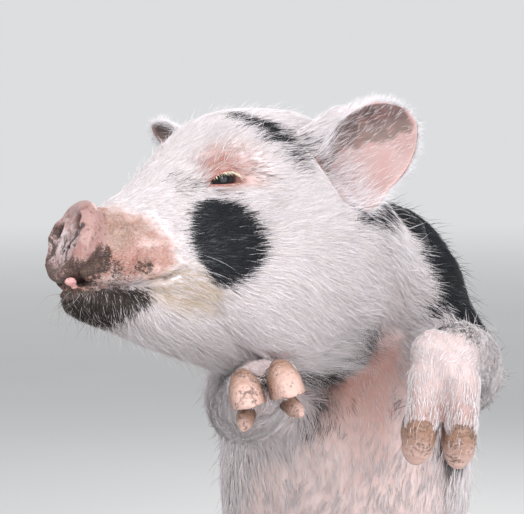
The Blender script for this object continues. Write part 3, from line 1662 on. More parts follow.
    @staticmethod
    def lip_shape(head: Array) -> Array:
        """The groove of the mouth and the rounded lips on both sides of it.

        Args:
            head: places in the head's frame, one a row, the right side turned onto the left.

        Returns:
            How far each place rises, in metres.
        """
        reading = along_path(head, MOUTH_LINE)
        fade = ramp(reading.share, 1.0, 0.86) * ramp(head[:, 0], -0.08, -0.066)
        groove = -0.0044 * hump(reading.distance, 0.0, 0.0014)
        lips = 0.0014 * hump(reading.distance, 0.0042, 0.0024)
        return (groove + lips) * fade * ramp(head[:, 0], 0.008, -0.008)

    @staticmethod
    def slit_place(head: Array) -> tuple[Array, Array, Array, Array]:
        """Places along and across the opening of the eye, and its upper and lower edge there.

        Args:
            head: places in the head's frame, one a row, the right side turned onto the left.

        Returns:
            The places along and over the opening, and the heights of its two edges.
        """
        forward, up, half, rise, drop, tilt = EYE_SLIT
        across, height = head[:, 0] - forward, head[:, 2] - up
        along = across * math.cos(tilt) + height * math.sin(tilt)
        over = height * math.cos(tilt) - across * math.sin(tilt)
        share = np.clip(1.0 - (along / half) ** 2, 0.0, 1.0)
        top = rise * share**0.75 * (1.0 + 0.18 * along / half)
        return along, over, top, -drop * share

    def lid_folds(self, head: Array) -> Array:
        """The arched creases over the eye and the pouch under it.

        Args:
            head: places in the head's frame, one a row, the right side turned onto the left.

        Returns:
            How far each place rises, in metres.
        """
        along, over, top, bottom = self.slit_place(head)
        near = hump(along, 0.0, 0.021) * ramp(head[:, 1], 0.02, 0.03)
        out = np.zeros(len(head))
        for place, depth, width in LID_CREASES:
            bend = place * (1.0 - 0.35 * (along / 0.02) ** 2) + (mottle(head, 0.007, 9) - 0.5) * 0.0022
            out -= depth * hump(over - top, bend, width)
            out += depth * 0.55 * hump(over - top, bend + width * 1.6, width * 1.2)
        for place, depth, width in POUCH_CREASES:
            out -= depth * hump(bottom - over, place, width)
        return out * near

    def open_eye(self, head: Array) -> Array:
        """Fit the lids to the ball and sink the skin between them behind it.

        Args:
            head: places in the head's frame, one a row, the right side turned onto the left.

        Returns:
            The places, moved.
        """
        along, over, top, bottom = self.slit_place(head)
        ball = head - tuple(EYE_AT)
        far = np.linalg.norm(ball, axis=1)
        outward = head[:, 1] > EYE_AT[1] + 0.002
        near = outward & (np.abs(along) < 0.026) & (np.abs(over) < 0.024)
        edge = np.maximum(over - top, bottom - over)
        edge = np.maximum(edge, (np.abs(along) - EYE_SLIT[2]) * 0.8)
        target = EYE_RADIUS + 0.001 + np.clip(edge, 0.0, 1.0) * 0.3
        pull = ramp(edge, 0.0055, 0.0) * near * (target < far)
        radius = far + (target - far) * pull
        inside = near & (edge < 0.0)
        radius = np.where(inside, EYE_RADIUS - 0.0035, radius)
        return tuple(EYE_AT) + ball * (radius / np.maximum(far, 1e-6))[:, None]

    @staticmethod
    def leg_folds(places: Array, marks: Marks) -> Array:
        """Soft rings in the skin over the wrists and pasterns.

        Args:
            places: places in the world, one a row.
            marks: the markings at each place.

        Returns:
            How far each place rises, in metres.
        """
        waves = np.sin(marks.limb_share * 95.0 + (mottle(places, 0.02, 11) - 0.5) * 6.0)
        where = marks.limb * ramp(marks.limb_share, 0.66, 0.74) * ramp(marks.limb_share, 0.93, 0.86)
        return waves * where * 0.0007 * marks.legs

    @staticmethod
    def chest_folds(places: Array, marks: Marks) -> Array:
        """Upright creases in the loose skin of the chest and throat.

        Args:
            places: places in the world, one a row.
            marks: the markings at each place.

        Returns:
            How far each place rises, in metres.
        """
        where = ramp(places[:, 1], 0.0, -0.03) * ramp(places[:, 2], 0.6, 0.58)
        where = where * ramp(places[:, 2], 0.44, 0.48) * marks.torso
        stretched = places * (1.0, 0.3, 0.22)
        return (mottle(stretched, 0.006, 12) - 0.5) * 0.004 * where

    def paint(self, thing: Piece) -> None:
        """Give the skin its colours and the share of dried dirt.

        Args:
            thing: the piece, whose points move.
        """
        places = places_of(thing.data)
        marks = self.markings.read(places)
        head = folded(marks.head)
        lips = hump(along_path(head, MOUTH_LINE).distance, 0.0, 0.0022)
        along, over, top, bottom = self.slit_place(head)
        edge = np.clip(np.maximum(over - top, bottom - over), 0, 1)
        rim = hump(edge, 0.0, 0.0016) * (np.abs(along) < 0.016) * (head[:, 1] > 0.03)
        corner = hump(head[:, 0], -0.088, 0.006) * hump(head[:, 2], 0.032, 0.004)
        bulge = np.linalg.norm((head - LIP_BULGE[0]) / LIP_BULGE[1], axis=1)
        pink_lip = ramp(bulge, 1.55, 1.15) * (marks.head[:, 1] > 0.0)
        colour = painted(
            self.markings.skin(marks, places),
            (self.markings.LIP_LINE, lips * 0.8 * marks.on_head),
            (self.markings.LID_RIM, rim * 0.7 * marks.on_head),
            (self.markings.EYE_CORNER, corner * 0.6 * marks.on_head),
            (self.markings.PINK_LIP, pink_lip * marks.on_head),
        )
        dirt = (
            marks.mud * 0.8,
            marks.crust * (0.3 + 0.32 * mottle(places, 0.008, 14)),
            marks.groove * 0.98,
            marks.smudge * 0.42 * mottle(places, 0.009, 15),
        )
        feet = marks.limb * ramp(marks.limb_share, 0.86, 0.94) * marks.legs
        dirty_foot = feet * np.where(marks.limb_index == 1, 0.55, 0.3)
        grime = np.maximum(np.max(dirt, axis=0) * (1.0 - 0.85 * pink_lip), dirty_foot)
        colour_points(thing.data, "tint", np.clip(colour, 0.0, 1.0))
        value_points(thing.data, "grime", grime)
        value_points(thing.data, "bare", marks.bare)

    def build(self) -> Piece:
        """Make the skin and dress it.

        Returns:
            The finished skin, which the coat grows from.
        """
        thing = self.melt()
        self.refine(thing, 2)
        self.sculpt(thing)
        self.paint(thing)
        thing.data.polygons.foreach_set("use_smooth", [True] * len(thing.data.polygons))
        solids = sorted(thing.name for thing in bpy.data.objects if "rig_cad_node" in thing)
        nodes = tuple(name for name in solids if name.split("_")[0] in FLESH)
        settle(thing, HideFinish().material(), nodes)
        return thing


@dataclass
class Growth:
    """Bristles about to be made: one row or value for each."""

    roots: Array
    tips: Array
    normals: Array
    widths: Array
    root_tint: Array
    tip_tint: Array
    flat: Array
    bends: Array | None = None

    def chosen(self, rows: Array) -> "Growth":
        """The same kind of bristles, only those in the given rows."""
        columns = [getattr(self, name) for name in self.__dataclass_fields__]
        return Growth(*(None if column is None else column[rows] for column in columns))


def over_skin(ends: Array, normals: Array, heights: Array, skin: BVHTree) -> Array:
    """Places along bristles, moved so that they follow the skin's own curve.

    Args:
        ends: the places along straight bristles.
        normals: the skin's normals at the roots.
        heights: how far each place stands off the skin, in metres.
        skin: the tree of the skin that they lie on.

    Returns:
        The places over the skin, one a row.
    """
    heights = heights[:, None]
    out = ends + normals * heights
    for i, end in enumerate(ends):
        place, normal, _, _ = skin.find_nearest(Vector(end), 0.03)
        if place is not None:
            out[i] = np.array(place) + (np.array(normal) * 0.6 + normals[i] * 0.4) * heights[i]
    return out


class BristleMesh:
    """Turns rows of bristles into solid tapered hairs with a pointed root and tip."""

    def __init__(self, widest: float = 0.3, rise: float = 0.6, grip: float = 0.6) -> None:
        """Keep the shape of one bristle.

        Args:
            widest: the share of the length at which it is widest and bends.
            rise: the share of its height that it has gained there.
            grip: how far its shading follows the skin under it.
        """
        self.grip = grip
        self.widest = widest
        self.rise = rise
        self.faces = ((0, 1, 2), (0, 2, 3), (0, 3, 1), (4, 2, 1), (4, 3, 2), (4, 1, 3))

    def build(self, name: str, growth: Growth, finish: Material, slot: Slot) -> None:
        """Make one piece of coat.

        Args:
            name: the piece's name.
            growth: the bristles.
            finish: their material.
            slot: the record's slot.
        """
        run = growth.tips - growth.roots
        height = (run * growth.normals).sum(1)[:, None] * growth.normals
        flat = run - height
        side = unit(np.cross(growth.normals, flat))
        half = growth.widths[:, None] / 2
        bend = growth.roots + flat * self.widest + height * self.rise if growth.bends is None else growth.bends
        up = unit(np.cross(side, flat))
        up = up * np.sign((up * growth.normals).sum(1))[:, None]
        base = growth.roots - growth.normals * 0.0006
        low = bend - up * half * 0.4
        rows = [base, low - side * half * 0.9, bend + up * half * 0.8, low + side * half * 0.9, growth.tips]
        patch = np.array(((0.5, 0.0), (0.0, 0.3), (0.5, 0.3), (1.0, 0.3), (0.5, 1.0))) * 0.003
        spread = growth.flat[:, None, :] + patch[np.ravel(self.faces)]
        mesh = repeated_mesh(name, np.stack(rows, axis=1), self.faces, spread)
        shares = np.array((0.0, 0.35, 0.35, 0.35, 1.0))[None, :, None]
        tint = growth.root_tint[:, None, :] * (1.0 - shares) + growth.tip_tint[:, None, :] * shares
        colour_points(mesh, "tint", tint.reshape(-1, 3))
        lean = np.array((0.0, -0.75, 0.0, 0.75, 0.0))[None, :, None]
        rise = np.array((0.2, -0.3, 0.8, -0.3, 0.0))[None, :, None]
        shading = growth.normals[:, None, :] * self.grip + side[:, None, :] * lean + up[:, None, :] * rise
        shading[:, 4, :] += unit(flat) * 0.35
        shading = unit(shading.reshape(-1, 3))
        mesh.normals_split_custom_set_from_vertices(shading.astype(np.float32))
        settle(linked(name, mesh), finish)


def laid_flat(points: Array, marks: Marks) -> Array:
    """Unwrap places of the skin round its own axes.

    Args:
        points: places on the skin, one a row.
        marks: the markings read there, which tell the leg or tail that a place is on.

    Returns:
        Two numbers from 0 to 1 a row: round the body or limb, and along it.
    """
    flat = np.zeros((len(points), 2))
    paths = {-1: list(SPINE)}
    for number, stations in enumerate(LIMBS.values()):
        paths[number] = [place for place, _ in stations]
    limb_of = np.where(marks.limb > 0.5, marks.limb_index, -1)
    for number, path in paths.items():
        rows = np.nonzero(limb_of == number)[0]
        if not len(rows):
            continue
        reading = along_path(points[rows], path)
        out = points[rows] - reading.nearest
        side = unit(np.cross(reading.way, np.tile((0.13, -0.71, 0.69), (len(rows), 1))))
        up = np.cross(side, reading.way)
        angle = np.arctan2((out * side).sum(1), (out * up).sum(1)) / (2 * math.pi) + 0.5
        if number >= 0:
            angle = (angle + number) / len(LIMBS)
        flat[rows] = np.column_stack([0.002 + angle * 0.993, 0.002 + reading.share * 0.993])
    return flat


class Lie:
    """Which way the bristles lie, how long and thick they are and how close they stand."""

    def ways(self, points: Array, normals: Array, marks: Marks) -> Array:
        """The direction of the coat along the skin at each place.

        Args:
            points: places in the world, one a row.
            normals: the skin's normals there.
            marks: the markings at each place.

        Returns:
            The directions, one a row.
        """
        head = marks.head
        sign = np.where(head[:, 1] < 0, -1.0, 1.0)
        low = ramp(head[:, 2], 0.0, -0.055)
        face = np.column_stack([-np.ones(len(head)), 0.2 * sign, 0.12 - 0.85 * low])
        front = ramp(head[:, 0], -0.06, -0.02) * ramp(head[:, 2], -0.03, -0.042)
        face += front[:, None] * (0.95, 0.0, -1.5)
        eye = head - np.column_stack([np.ones(len(head)), sign, np.ones(len(head))]) * tuple(EYE_AT)
        face += unit(eye) * (hump(np.linalg.norm(eye, axis=1), 0.0, 0.028) * 0.9)[:, None]
        face = turned(face, HEAD)
        spine = np.array(TRUNK.to_3x3() @ Vector((0, 1, 0)))
        down = np.array(TRUNK.to_3x3() @ Vector((0, 0, -1)))
        flank = ramp(np.abs(marks.trunk[:, 0]), 0.02, 0.07)
        body = spine + down * (0.55 * flank)[:, None]
        neck = np.array((0.5, 0.7, -0.45))
        on_neck = ramp(marks.trunk[:, 1], 0.03, -0.06)
        body = body * (1.0 - on_neck)[:, None] + neck * on_neck[:, None]
        way = face * marks.on_head[:, None] + body * marks.off_head[:, None]
        limb = marks.limb[:, None]
        way = unit(way) * (1.0 - limb) + marks.limb_way * limb
        swirl = np.column_stack([mottle(points, 0.022, seed) - 0.5 for seed in (21, 22, 23)])
        return along_skin(unit(way) + swirl * 0.75, normals)

    @staticmethod
    def lengths(marks: Marks) -> Array:
        """The length of the bristles at each place, in metres.

        Args:
            marks: the markings at each place.

        Returns:
            The lengths at each place.
        """
        forward, _, up = marks.head.T
        over = marks.trunk[:, 2]
        length = 0.0145 - 0.005 * ramp(forward, -0.11, -0.06)
        length += 0.009 * ramp(up, -0.025, -0.07) + 0.004 * ramp(forward, -0.16, -0.21)
        body = 0.024 + 0.008 * ramp(over, 0.05, 0.085) - 0.006 * ramp(over, -0.06, -0.1)
        length = length * marks.on_head + body * marks.off_head
        lip = ramp(up, -0.025, -0.031)
        length = length * (1.0 - marks.bare * (0.72 - 0.25 * lip)) * (1.0 - 0.35 * marks.breast)
        nape = ramp(forward, -0.185, -0.2) * ramp(up, 0.045, 0.06) * marks.on_head
        length = length * (1.0 - 0.45 * nape) * (1.0 - 0.35 * marks.red)
        leg = 0.018 - 0.0095 * ramp(marks.limb_share, 0.45, 0.8) + 0.002 * ramp(marks.limb_share, 0.9, 0.97)
        tail = 0.01 + 0.022 * ramp(marks.limb_share, 0.75, 1.0)
        length = length * (1.0 - marks.limb) + np.where(marks.legs, leg, tail) * marks.limb
        chin = marks.mud * ramp(up, -0.03, -0.04)
        return length * (1.0 - chin) + 0.0105 * chin

    @staticmethod
    def density(points: Array, marks: Marks) -> Array:
        """Bristles for each square metre at each place.

        Args:
            points: places in the world, one a row.
            marks: the markings at each place.

        Returns:
            The count at each place.
        """
        forward, _, up = marks.head.T
        _, along, over = marks.trunk.T
        density = 0.21e6 + (1.35e6 - 0.21e6) * marks.on_head
        density = density + 0.45e6 * ramp(along, 0.08, 0.0) * marks.off_head
        throat = ramp(up, -0.085, -0.11) * ramp(over, -0.06, -0.09) * marks.off_head
        density = density * (1.0 - 0.45 * throat)
        density = density * (1.0 - 0.1 * ramp(over, -0.075, -0.105) * marks.off_head)
        lip = ramp(up, -0.025, -0.031) * ramp(forward, 0.0, -0.01)
        density = density * (1.0 - 0.84 * marks.bare * (1.0 - 0.9 * lip)) * (1.0 - 0.62 * marks.red)
        density = density * (1.0 - 0.62 * marks.breast) * (1.0 - 0.1 * marks.chest)
        leg = 0.26e6 + 0.44e6 * marks.fore
        density = density * (1.0 - marks.limb) + leg * marks.limb
        density = density * (1.0 - 0.55 * Markings.bare_front(marks))
        eye = folded(marks.head)
        along, over, top, bottom = Hide.slit_place(eye)
        edge = np.maximum(np.maximum(over - top, bottom - over), (np.abs(along) - EYE_SLIT[2]) * 0.8)
        near_eye = (edge < 0.0022) & (eye[:, 1] > 0.03) & (np.abs(forward - EYE_AT[0]) < 0.03)
        disc = placed(points, DISC)
        in_disc = (disc[:, 0] > -0.012) & (np.abs(disc[:, 1:]) < 0.03).all(axis=1)
        return np.where(near_eye | in_disc, 0.0, density)

    @staticmethod
    def widths(marks: Marks) -> Array:
        """The thickness of the bristles at each place, in metres.

        Args:
            marks: the markings at each place.

        Returns:
            The widths at each place.
        """
        width = 0.00092 - 0.00058 * marks.on_head
        width -= 0.00044 * ramp(marks.trunk[:, 1], 0.08, 0.0) * marks.off_head
        leg = 0.0007 - 0.00028 * marks.fore
        width = width * (1.0 - marks.limb) + leg * marks.limb
        belly = ramp(marks.trunk[:, 2], -0.06, -0.095) * marks.torso
        return width * (1.0 - 0.45 * belly) * (1.0 - 0.35 * marks.breast) * (1.0 - 0.4 * marks.bare)


class Coat:
    """The bristly coat over the whole skin, in pieces that each stay small."""

    piece_limit = 32000
    total = 230000
    seed = 7

    def __init__(self, markings: Markings, skin: Piece) -> None:
        """Keep the markings, the skin and the seeded draw.

        Args:
            markings: the pig's colours.
            skin: the skin that the hairs grow from.
        """
        self.markings = markings
        self.skin = skin
        self.lie = Lie()
        self.random = np.random.default_rng(self.seed)

    def scatter(self) -> tuple[Array, Array]:
        """Draw the roots over the skin, closer where the coat is denser.

        Returns:
            Roots and normals, one a row.
        """
        mesh = self.skin.data
        places, normals = places_of(mesh), normals_of(mesh)
        corners = corners_of(mesh)
        density = self.lie.density(places, self.markings.read(places))
        weight = areas_of(places, corners) * density[corners].min(axis=1)
        wanted = weight.sum()
        total = min(self.total, int(wanted)) // 1
        LOG.info("coat: %.0f bristles wanted, %d made", wanted, total)
        chosen = self.random.choice(len(corners), total, p=weight / wanted)
        return scattered(corners[chosen], places, normals, self.random)

    def grow(self) -> tuple[Growth, Marks]:
        """Give every root its bristle.

        Returns:
            The bristles, and the markings that they show.
        """
        roots, normals = self.scatter()
        count = len(roots)
        marks = self.markings.read(roots)
        draw = self.random
        ways = self.lie.ways(roots, normals, marks)
        ways = along_skin(ways + draw.normal(0.0, 0.16, (count, 3)), normals)
        lengths = self.lie.lengths(marks) * draw.uniform(0.6, 1.2, count)
        widths = self.lie.widths(marks) * draw.uniform(0.75, 1.2, count) * 1.0
        lifts = draw.uniform(0.06, 0.2, count)
        stray = draw.random(count) < 0.02 + 0.03 * ramp(marks.trunk[:, 2], 0.04, 0.08)
        lifts = np.where(stray, draw.uniform(0.3, 0.75, count), lifts)
        lifts += 0.22 * marks.mud * draw.random(count)
        in_ear = np.zeros(count)
        for ear in EARS:
            in_ear = np.maximum(in_ear, ear.covers(roots + ways * lengths[:, None] * 0.6))
        lengths = lengths * (1.0 - 0.25 * in_ear)
        tree = BVHTree.FromPolygons(
            [tuple(place) for place in places_of(self.skin.data)],
            [tuple(face.vertices) for face in self.skin.data.polygons],
        )
        run = ways * (lengths * np.sqrt(np.maximum(1.0 - lifts**2, 0.1)))[:, None]
        tips = over_skin(roots + run, normals, lifts * lengths, tree)
        bends = over_skin(roots + run * 0.33, normals, lifts * lengths * 0.45 + widths * 0.4, tree)
        along = draw.uniform(0.15, 0.95, count)[:, None]
        shown = self.markings.read(roots * (1.0 - along) + tips * along)
        for name in ("black", "stain", "mud"):
            setattr(marks, name, getattr(shown, name))
        root_tint, tip_tint = self.markings.bristles(marks, draw)
        flat = laid_flat(roots, marks)
        return Growth(roots, tips, normals, widths, root_tint, tip_tint, flat, bends), marks

    def build(self) -> None:
        """Grow the coat and make its pieces, named for the part of the body."""
        growth, marks = self.grow()
        finish = CoatFinish().material()
        maker = BristleMesh()
        on_limb = marks.limb > 0.5
        on_head = ~on_limb & (marks.head[:, 0] > BACK_OF_HEAD) & (marks.on_head > 0.5)
        face = on_head & (marks.head[:, 0] > BACK_OF_FACE)
        neck = ~on_limb & ~on_head & (marks.trunk[:, 1] < BACK_OF_NECK)
        regions = {
            "coat_face": face,
            "coat_crown_and_cheeks": on_head & ~face,
            "coat_neck_and_shoulders": neck,
            "coat_trunk": ~on_limb & ~on_head & ~neck,
            "coat_legs_and_tail": on_limb,
        }
        for name, rows in regions.items():
            rows = np.nonzero(rows)[0]
            pieces = max(1, math.ceil(len(rows) / self.piece_limit))
            for number, part in enumerate(np.array_split(rows, pieces), 1):
                label = name if pieces == 1 else f"{name}_{number}"
                maker.build(label, growth.chosen(part), finish, Slot.HIDE)


@dataclass
class Snout:
    """The disc at the end of the muzzle, with its nostrils, rim and furrow."""

    half_width: float = 0.0315
    half_height: float = 0.0305
    depth: float = 0.017
    nostrils: tuple = ((0.014, 0.0115), (-0.017, 0.01))
    nostril_radius: float = 0.0056
    count: int = 160
    cracks: tuple = (
        ((0.016, 0.012), (0.0195, 0.006), (0.024, 0.0035), (0.0265, 0.006)),
        (
            (0.018, 0.008), (0.016, 0.002), (0.0115, -0.002),
            (0.007, -0.007), (0.0055, -0.013), (0.0085, -0.02),
        ),
        ((0.009, -0.0065), (0.002, -0.006), (-0.002, -0.009)),
        ((-0.024, 0.004), (-0.0205, -0.004), (-0.023, -0.012)),
        ((0.015, -0.006), (0.019, -0.012), (0.017, -0.018)),
    )
    stations: tuple = (
        (-1.35, 0.8), (-1.0, 0.86), (-0.75, 0.885), (-0.45, 0.945), (-0.15, 1.0),
        (0.03, 0.985), (0.14, 0.925), (0.19, 0.84), (0.18, 0.74), (0.17, 0.64),
        (0.16, 0.52), (0.15, 0.4), (0.14, 0.28), (0.14, 0.16), (0.135, 0.03),
    )  # fmt: skip

    def build(self) -> None:
        """Make the disc and dress it."""
        bm = bmesh.new()
        side, up = (DISC.to_3x3() @ Vector(way) for way in ((0, 1, 0), (0, 0, 1)))
        rings = []
        for forward, share in smooth_rows(list(self.stations), 5):
            height = self.half_height * share
            middle = DISC @ Vector((forward * self.depth, 0, 0.001 * share))
            sizes = (self.half_width * share, height, height)
            rings.append(egg_ring(middle, side, up, sizes, self.count, 2.2))
        loft(bm, rings)
        thing = new_object("snout_disc", bm)
        self.sculpt(thing)
        settle(thing, SnoutFinish().material(), ("snout",))

    def sculpt(self, thing: Piece) -> None:
        """Press in the nostrils and the furrow, raise their rims, and note where dirt sits.

        Args:
            thing: the piece, whose points move.
        """
        mesh = thing.data
        local = placed(places_of(mesh), DISC)
        across, up = local[:, 1], local[:, 2]
        face = ramp(local[:, 0], -0.006, 0.0)
        lift = np.zeros(len(local))
        hollow = np.zeros(len(local))
        for sign, (middle, height) in ((1, self.nostrils[0]), (-1, self.nostrils[1])):
            dx, dz = across - middle, up - height
            far = np.hypot(dx * 0.9 + sign * dz * 0.3, dz * 1.2 - sign * dx * 0.15)
            lift -= 0.0125 * hump(far, 0.0, self.nostril_radius, 4)
            lift += 0.0016 * hump(far, 0.0092, 0.0028)
            hollow = np.maximum(hollow, hump(far, 0.0, self.nostril_radius * 1.12, 6))
        flat = np.column_stack([np.zeros(len(local)), across, up])
        crack = np.zeros(len(local))
        for line in self.cracks:
            far = along_path(flat, [(0.0, *corner) for corner in line]).distance
            lift += 0.0005 * hump(far, 0.003, 0.0016) - 0.0013 * hump(far, 0.0, 0.0013)
            near = far + (mottle(local, 0.004, 35) - 0.5) * 0.001
            crack = np.maximum(crack, hump(near, 0.0, 0.0019))
        rim = np.hypot(across / self.half_width, up / self.half_height)
        lift += 0.0014 * hump(rim, 0.84, 0.09) - 0.001 * hump(rim, 0.62, 0.08)
        world = places_of(mesh)
        lift += (mottle(world, 0.0085, 31) - 0.5) * 0.0016 + (mottle(world, 0.0034, 32) - 0.5) * 0.0006
        local[:, 0] += lift * face
        edge = 1.0 - face
        swell = 1.0 + edge * ((mottle(world, 0.008, 33) - 0.5) * 0.05)
        local[:, 1:] *= swell[:, None]
        move_points(mesh, local @ np.array(DISC.to_3x3()).T + np.array(DISC.translation))
        self.paint(mesh, local, hollow * face, crack * face)

    @staticmethod
    def paint(mesh: Mesh, local: Array, hollow: Array, crack: Array) -> None:
        """Pink skin, paler in the middle and rosier on the rim, dirtier below.

        Args:
            mesh: the disc's mesh.
            local: its points in the disc's frame.
            hollow: the share of each point's place inside a nostril.
            crack: the share of each point's nearness to a crack.
        """
        across, up = local[:, 1], local[:, 2]
        patches = mottle(local, 0.008, 34)
        pale = hump(across, -0.004, 0.013) * hump(up, 0.001, 0.009)
        rim = ramp(np.hypot(across / 0.0315, up / 0.0305), 0.7, 0.95)
        around = hump(across, 0.0135, 0.01) * hump(up, 0.0125, 0.008)
        colour = painted(
            np.tile(srgb(174, 150, 149), (len(local), 1)),
            (srgb(220, 206, 209), pale * 0.95),
            (srgb(162, 126, 120), rim * 0.8),
            (srgb(140, 98, 90), around * 0.6),
        )
        colour_points(mesh, "tint", colour)
        low = ramp(up, -0.01, -0.024)
        far_side = ramp(across, -0.006, -0.022) * 0.5 * ramp(up, 0.02, 0.0)
        back = ramp(local[:, 0], -0.003, -0.01) * ramp(up, 0.0, -0.012)
        grime = np.clip(0.1 + low * 0.55 + far_side + back * 0.6 + (patches - 0.5) * 0.55, 0.0, 1.0)
        value_points(mesh, "grime", grime)
        value_points(mesh, "hollow", hollow)
        value_points(mesh, "crack", crack)


@dataclass
class Ear:
    """One ear: a thin cupped leaf with a rolled edge and ridges inside."""

    name: str
    reach: float
    root: tuple[float, float, float]
    length: tuple[float, float, float]
    across: tuple[float, float, float]
    thickness: float = 0.003
    low_side: float = 0.4
    seed: int = 11
    hairs: int = 10000
    steps: int = 60
    stations: tuple = (
        (-0.14, 0.02, 0.018),
        (0.0, 0.025, 0.02),
        (0.12, 0.034, 0.026),
        (0.3, 0.039, 0.023),
        (0.5, 0.038, 0.017),
        (0.7, 0.032, 0.012),
        (0.85, 0.023, 0.007),
        (0.95, 0.013, 0.003),
        (1.0, 0.006, 0.001),
    )

    def axes(self) -> tuple[Vector, Vector, Vector, Vector]:
        """Root, length, across and facing directions in the head's frame.

        Returns:
            The root and the three directions.
        """
        root, length, across = Vector(self.root), Vector(self.length).normalized(), Vector(self.across)
        across = (across - length * across.dot(length)).normalized()
        facing = length.cross(across)
        return root, length, across, -facing if self.name == "ear_right" else facing

    @staticmethod
    def rolled(share: float | Array) -> float | Array:
        """How narrow the upper side is left by the fold of skin that its edge is rolled under."""
        return np.interp(share, (0.0, 0.15, 0.3, 0.55, 0.75, 1.0), (0.38, 0.45, 0.6, 0.7, 0.82, 0.97))

    def wider(self, share: float, turn: float) -> float:
        """How much wider the lower side is near the root, or how much narrower the upper one."""
        if turn > 0:
            return float(self.rolled(share))
        return 1.0 + self.low_side * min(1.0, -turn * 3.0) * max(0.0, 1.0 - share / 0.45)

    def fold(self) -> list[Station]:
        """The fold of skin that the upper edge is rolled under, in the world.

        Returns:
            The places and radii along it.
        """
        root, length, across, facing = self.axes()
        rows = (
            (-0.22, 0.019, -0.006, 0.014),
            (0.02, 0.0235, -0.001, 0.012),
            (0.16, 0.0262, 0.0, 0.0095),
            (0.3, 0.0292, 0.0, 0.0082),
            (0.47, 0.031, 0.0, 0.0056),
        )
        base = [root + length * (share * self.reach) + across * out for share, out, _, _ in rows]
        return [(HEAD @ (place + facing * row[2]), row[3]) for place, row in zip(base, rows)]

    def cup_place(self, points: Array) -> tuple[Array, Array, Array]:
        """Where places lie against the ear.

        Args:
            points: places in the world, one a row.

        Returns:
            The share of the ear's length, the turn from edge to edge, and the height over
            the inner surface in metres.
        """
        root, length, across, facing = (np.array(axis) for axis in self.axes())
        offset = placed(points, HEAD) - root
        share = offset @ length / self.reach
        table = np.array(self.stations)
        half = np.interp(share, table[:, 0], table[:, 1])
        turn = offset @ across / half
        low = 1.0 + self.low_side * np.clip(-turn * 3.0, 0.0, 1.0) * np.clip(1.0 - share / 0.45, 0.0, 1.14)
        turn = turn / np.where(turn > 0.0, self.rolled(share), low)
        cup = np.interp(share, table[:, 0], table[:, 2])
        return share, turn, offset @ facing - cup * (turn**2 - 1.0) - self.thickness

    def covers(self, points: Array) -> Array:
        """1 where a place lies in front of the ear's inner surface, 0 elsewhere.

        Args:
            points: places in the world, one a row.

        Returns:
            The value for each place.
        """
        share, turn, height = self.cup_place(points)
        inside = (share > 0.1) & (share < 1.05) & (np.abs(turn) < 1.02) & (height > -0.006) & (height < 0.05)
        return inside.astype(float)

    def clear(self, points: Array) -> Array:
        """Places of the skin, moved back where they would stand in the ear's cup.

        Args:
            points: places in the world, one a row.

        Returns:
            The places, moved.
        """
        share, turn, height = self.cup_place(points)
        facing = np.array(HEAD.to_3x3() @ self.axes()[3])
        over = np.clip(height + 0.0042, 0.0, None) * (height < 0.05)
        over *= ramp(np.abs(turn), 1.1, 0.97) * ramp(share, -0.06, 0.03) * (share < 1.0)
        return points - facing * over[:, None]

    def build(self, markings: Markings, finish: Material, coat: Material) -> None:
        """Make the ear, its hairs and its fringe.

        Args:
            markings: the pig's colours.
            finish: the piece's material.
            coat: the hairs' material.
        """
        root, length, across, facing = self.axes()
        bm = bmesh.new()
        rings, shares, turns, inners = [], [], [], []
        for share, half_width, cup in smooth_rows(list(self.stations), 7):
            ring = []
            row = [2.0 * i / self.steps - 1.0 for i in range(self.steps + 1)]
            roll = half_width * (1.0 - float(self.rolled(share)))
            spread = 0.3 * roll * min(1.0, max(0.0, share - 0.02) / 0.2)
            edge = half_width - roll + spread
            for inner, line in ((False, row), (True, list(reversed(row))[1:-1])):
                for turn in line:
                    hollow = cup * (turn * turn - 1.0)
                    wall = self.thickness * (0.4 + 0.6 * (1.0 - turn**4)) if inner else 0.0
                    wave = 0.0014 * math.sin(share * 11.0 + turn * 2.0) * abs(turn) ** 3
                    ridge = 0.0012 * math.exp(-(((turn - 0.25) / 0.1) ** 2))
                    ridge += 0.001 * math.exp(-(((turn + 0.22) / 0.12) ** 2))
                    ridge = ridge * math.sin(math.pi * min(1.0, max(0.0, share * 1.15))) if inner else 0.0
                    out = turn * (half_width * self.wider(share, turn) if inner or turn < 0 else edge)
                    place = root + length * (share * self.reach) + across * out * (0.985 if inner else 1.0)
                    ring.append(HEAD @ (place + facing * (hollow + wall + ridge + wave)))
                    shares.append(share)
                    turns.append(turn)
                    inners.append(1.0 if inner else 0.0)
                if inner:
                    continue
                for i in range(1, 9):
                    angle = math.pi * i / 9
                    out = edge - spread * (0.5 - 0.5 * math.cos(angle))
                    ahead = wave + (0.0004 + 0.8 * spread) * math.sin(angle)
                    ring.append(HEAD @ (root + length * (share * self.reach) + across * out + facing * ahead))
                    shares.append(share)
                    turns.append(1.0)
                    inners.append(0.0)
            rings.append(ring)
        loft(bm, rings)
        thing = new_object(self.name + "_leaf", bm)
        share, turn, inner = np.array(shares), np.array(turns), np.array(inners)
        places = places_of(thing.data)
        colour_points(thing.data, "tint", self.colours(places, share, turn, inner, markings))
        settle(thing, finish, (self.name,))
        self.grow_hair(thing, share, turn, inner, coat, markings)

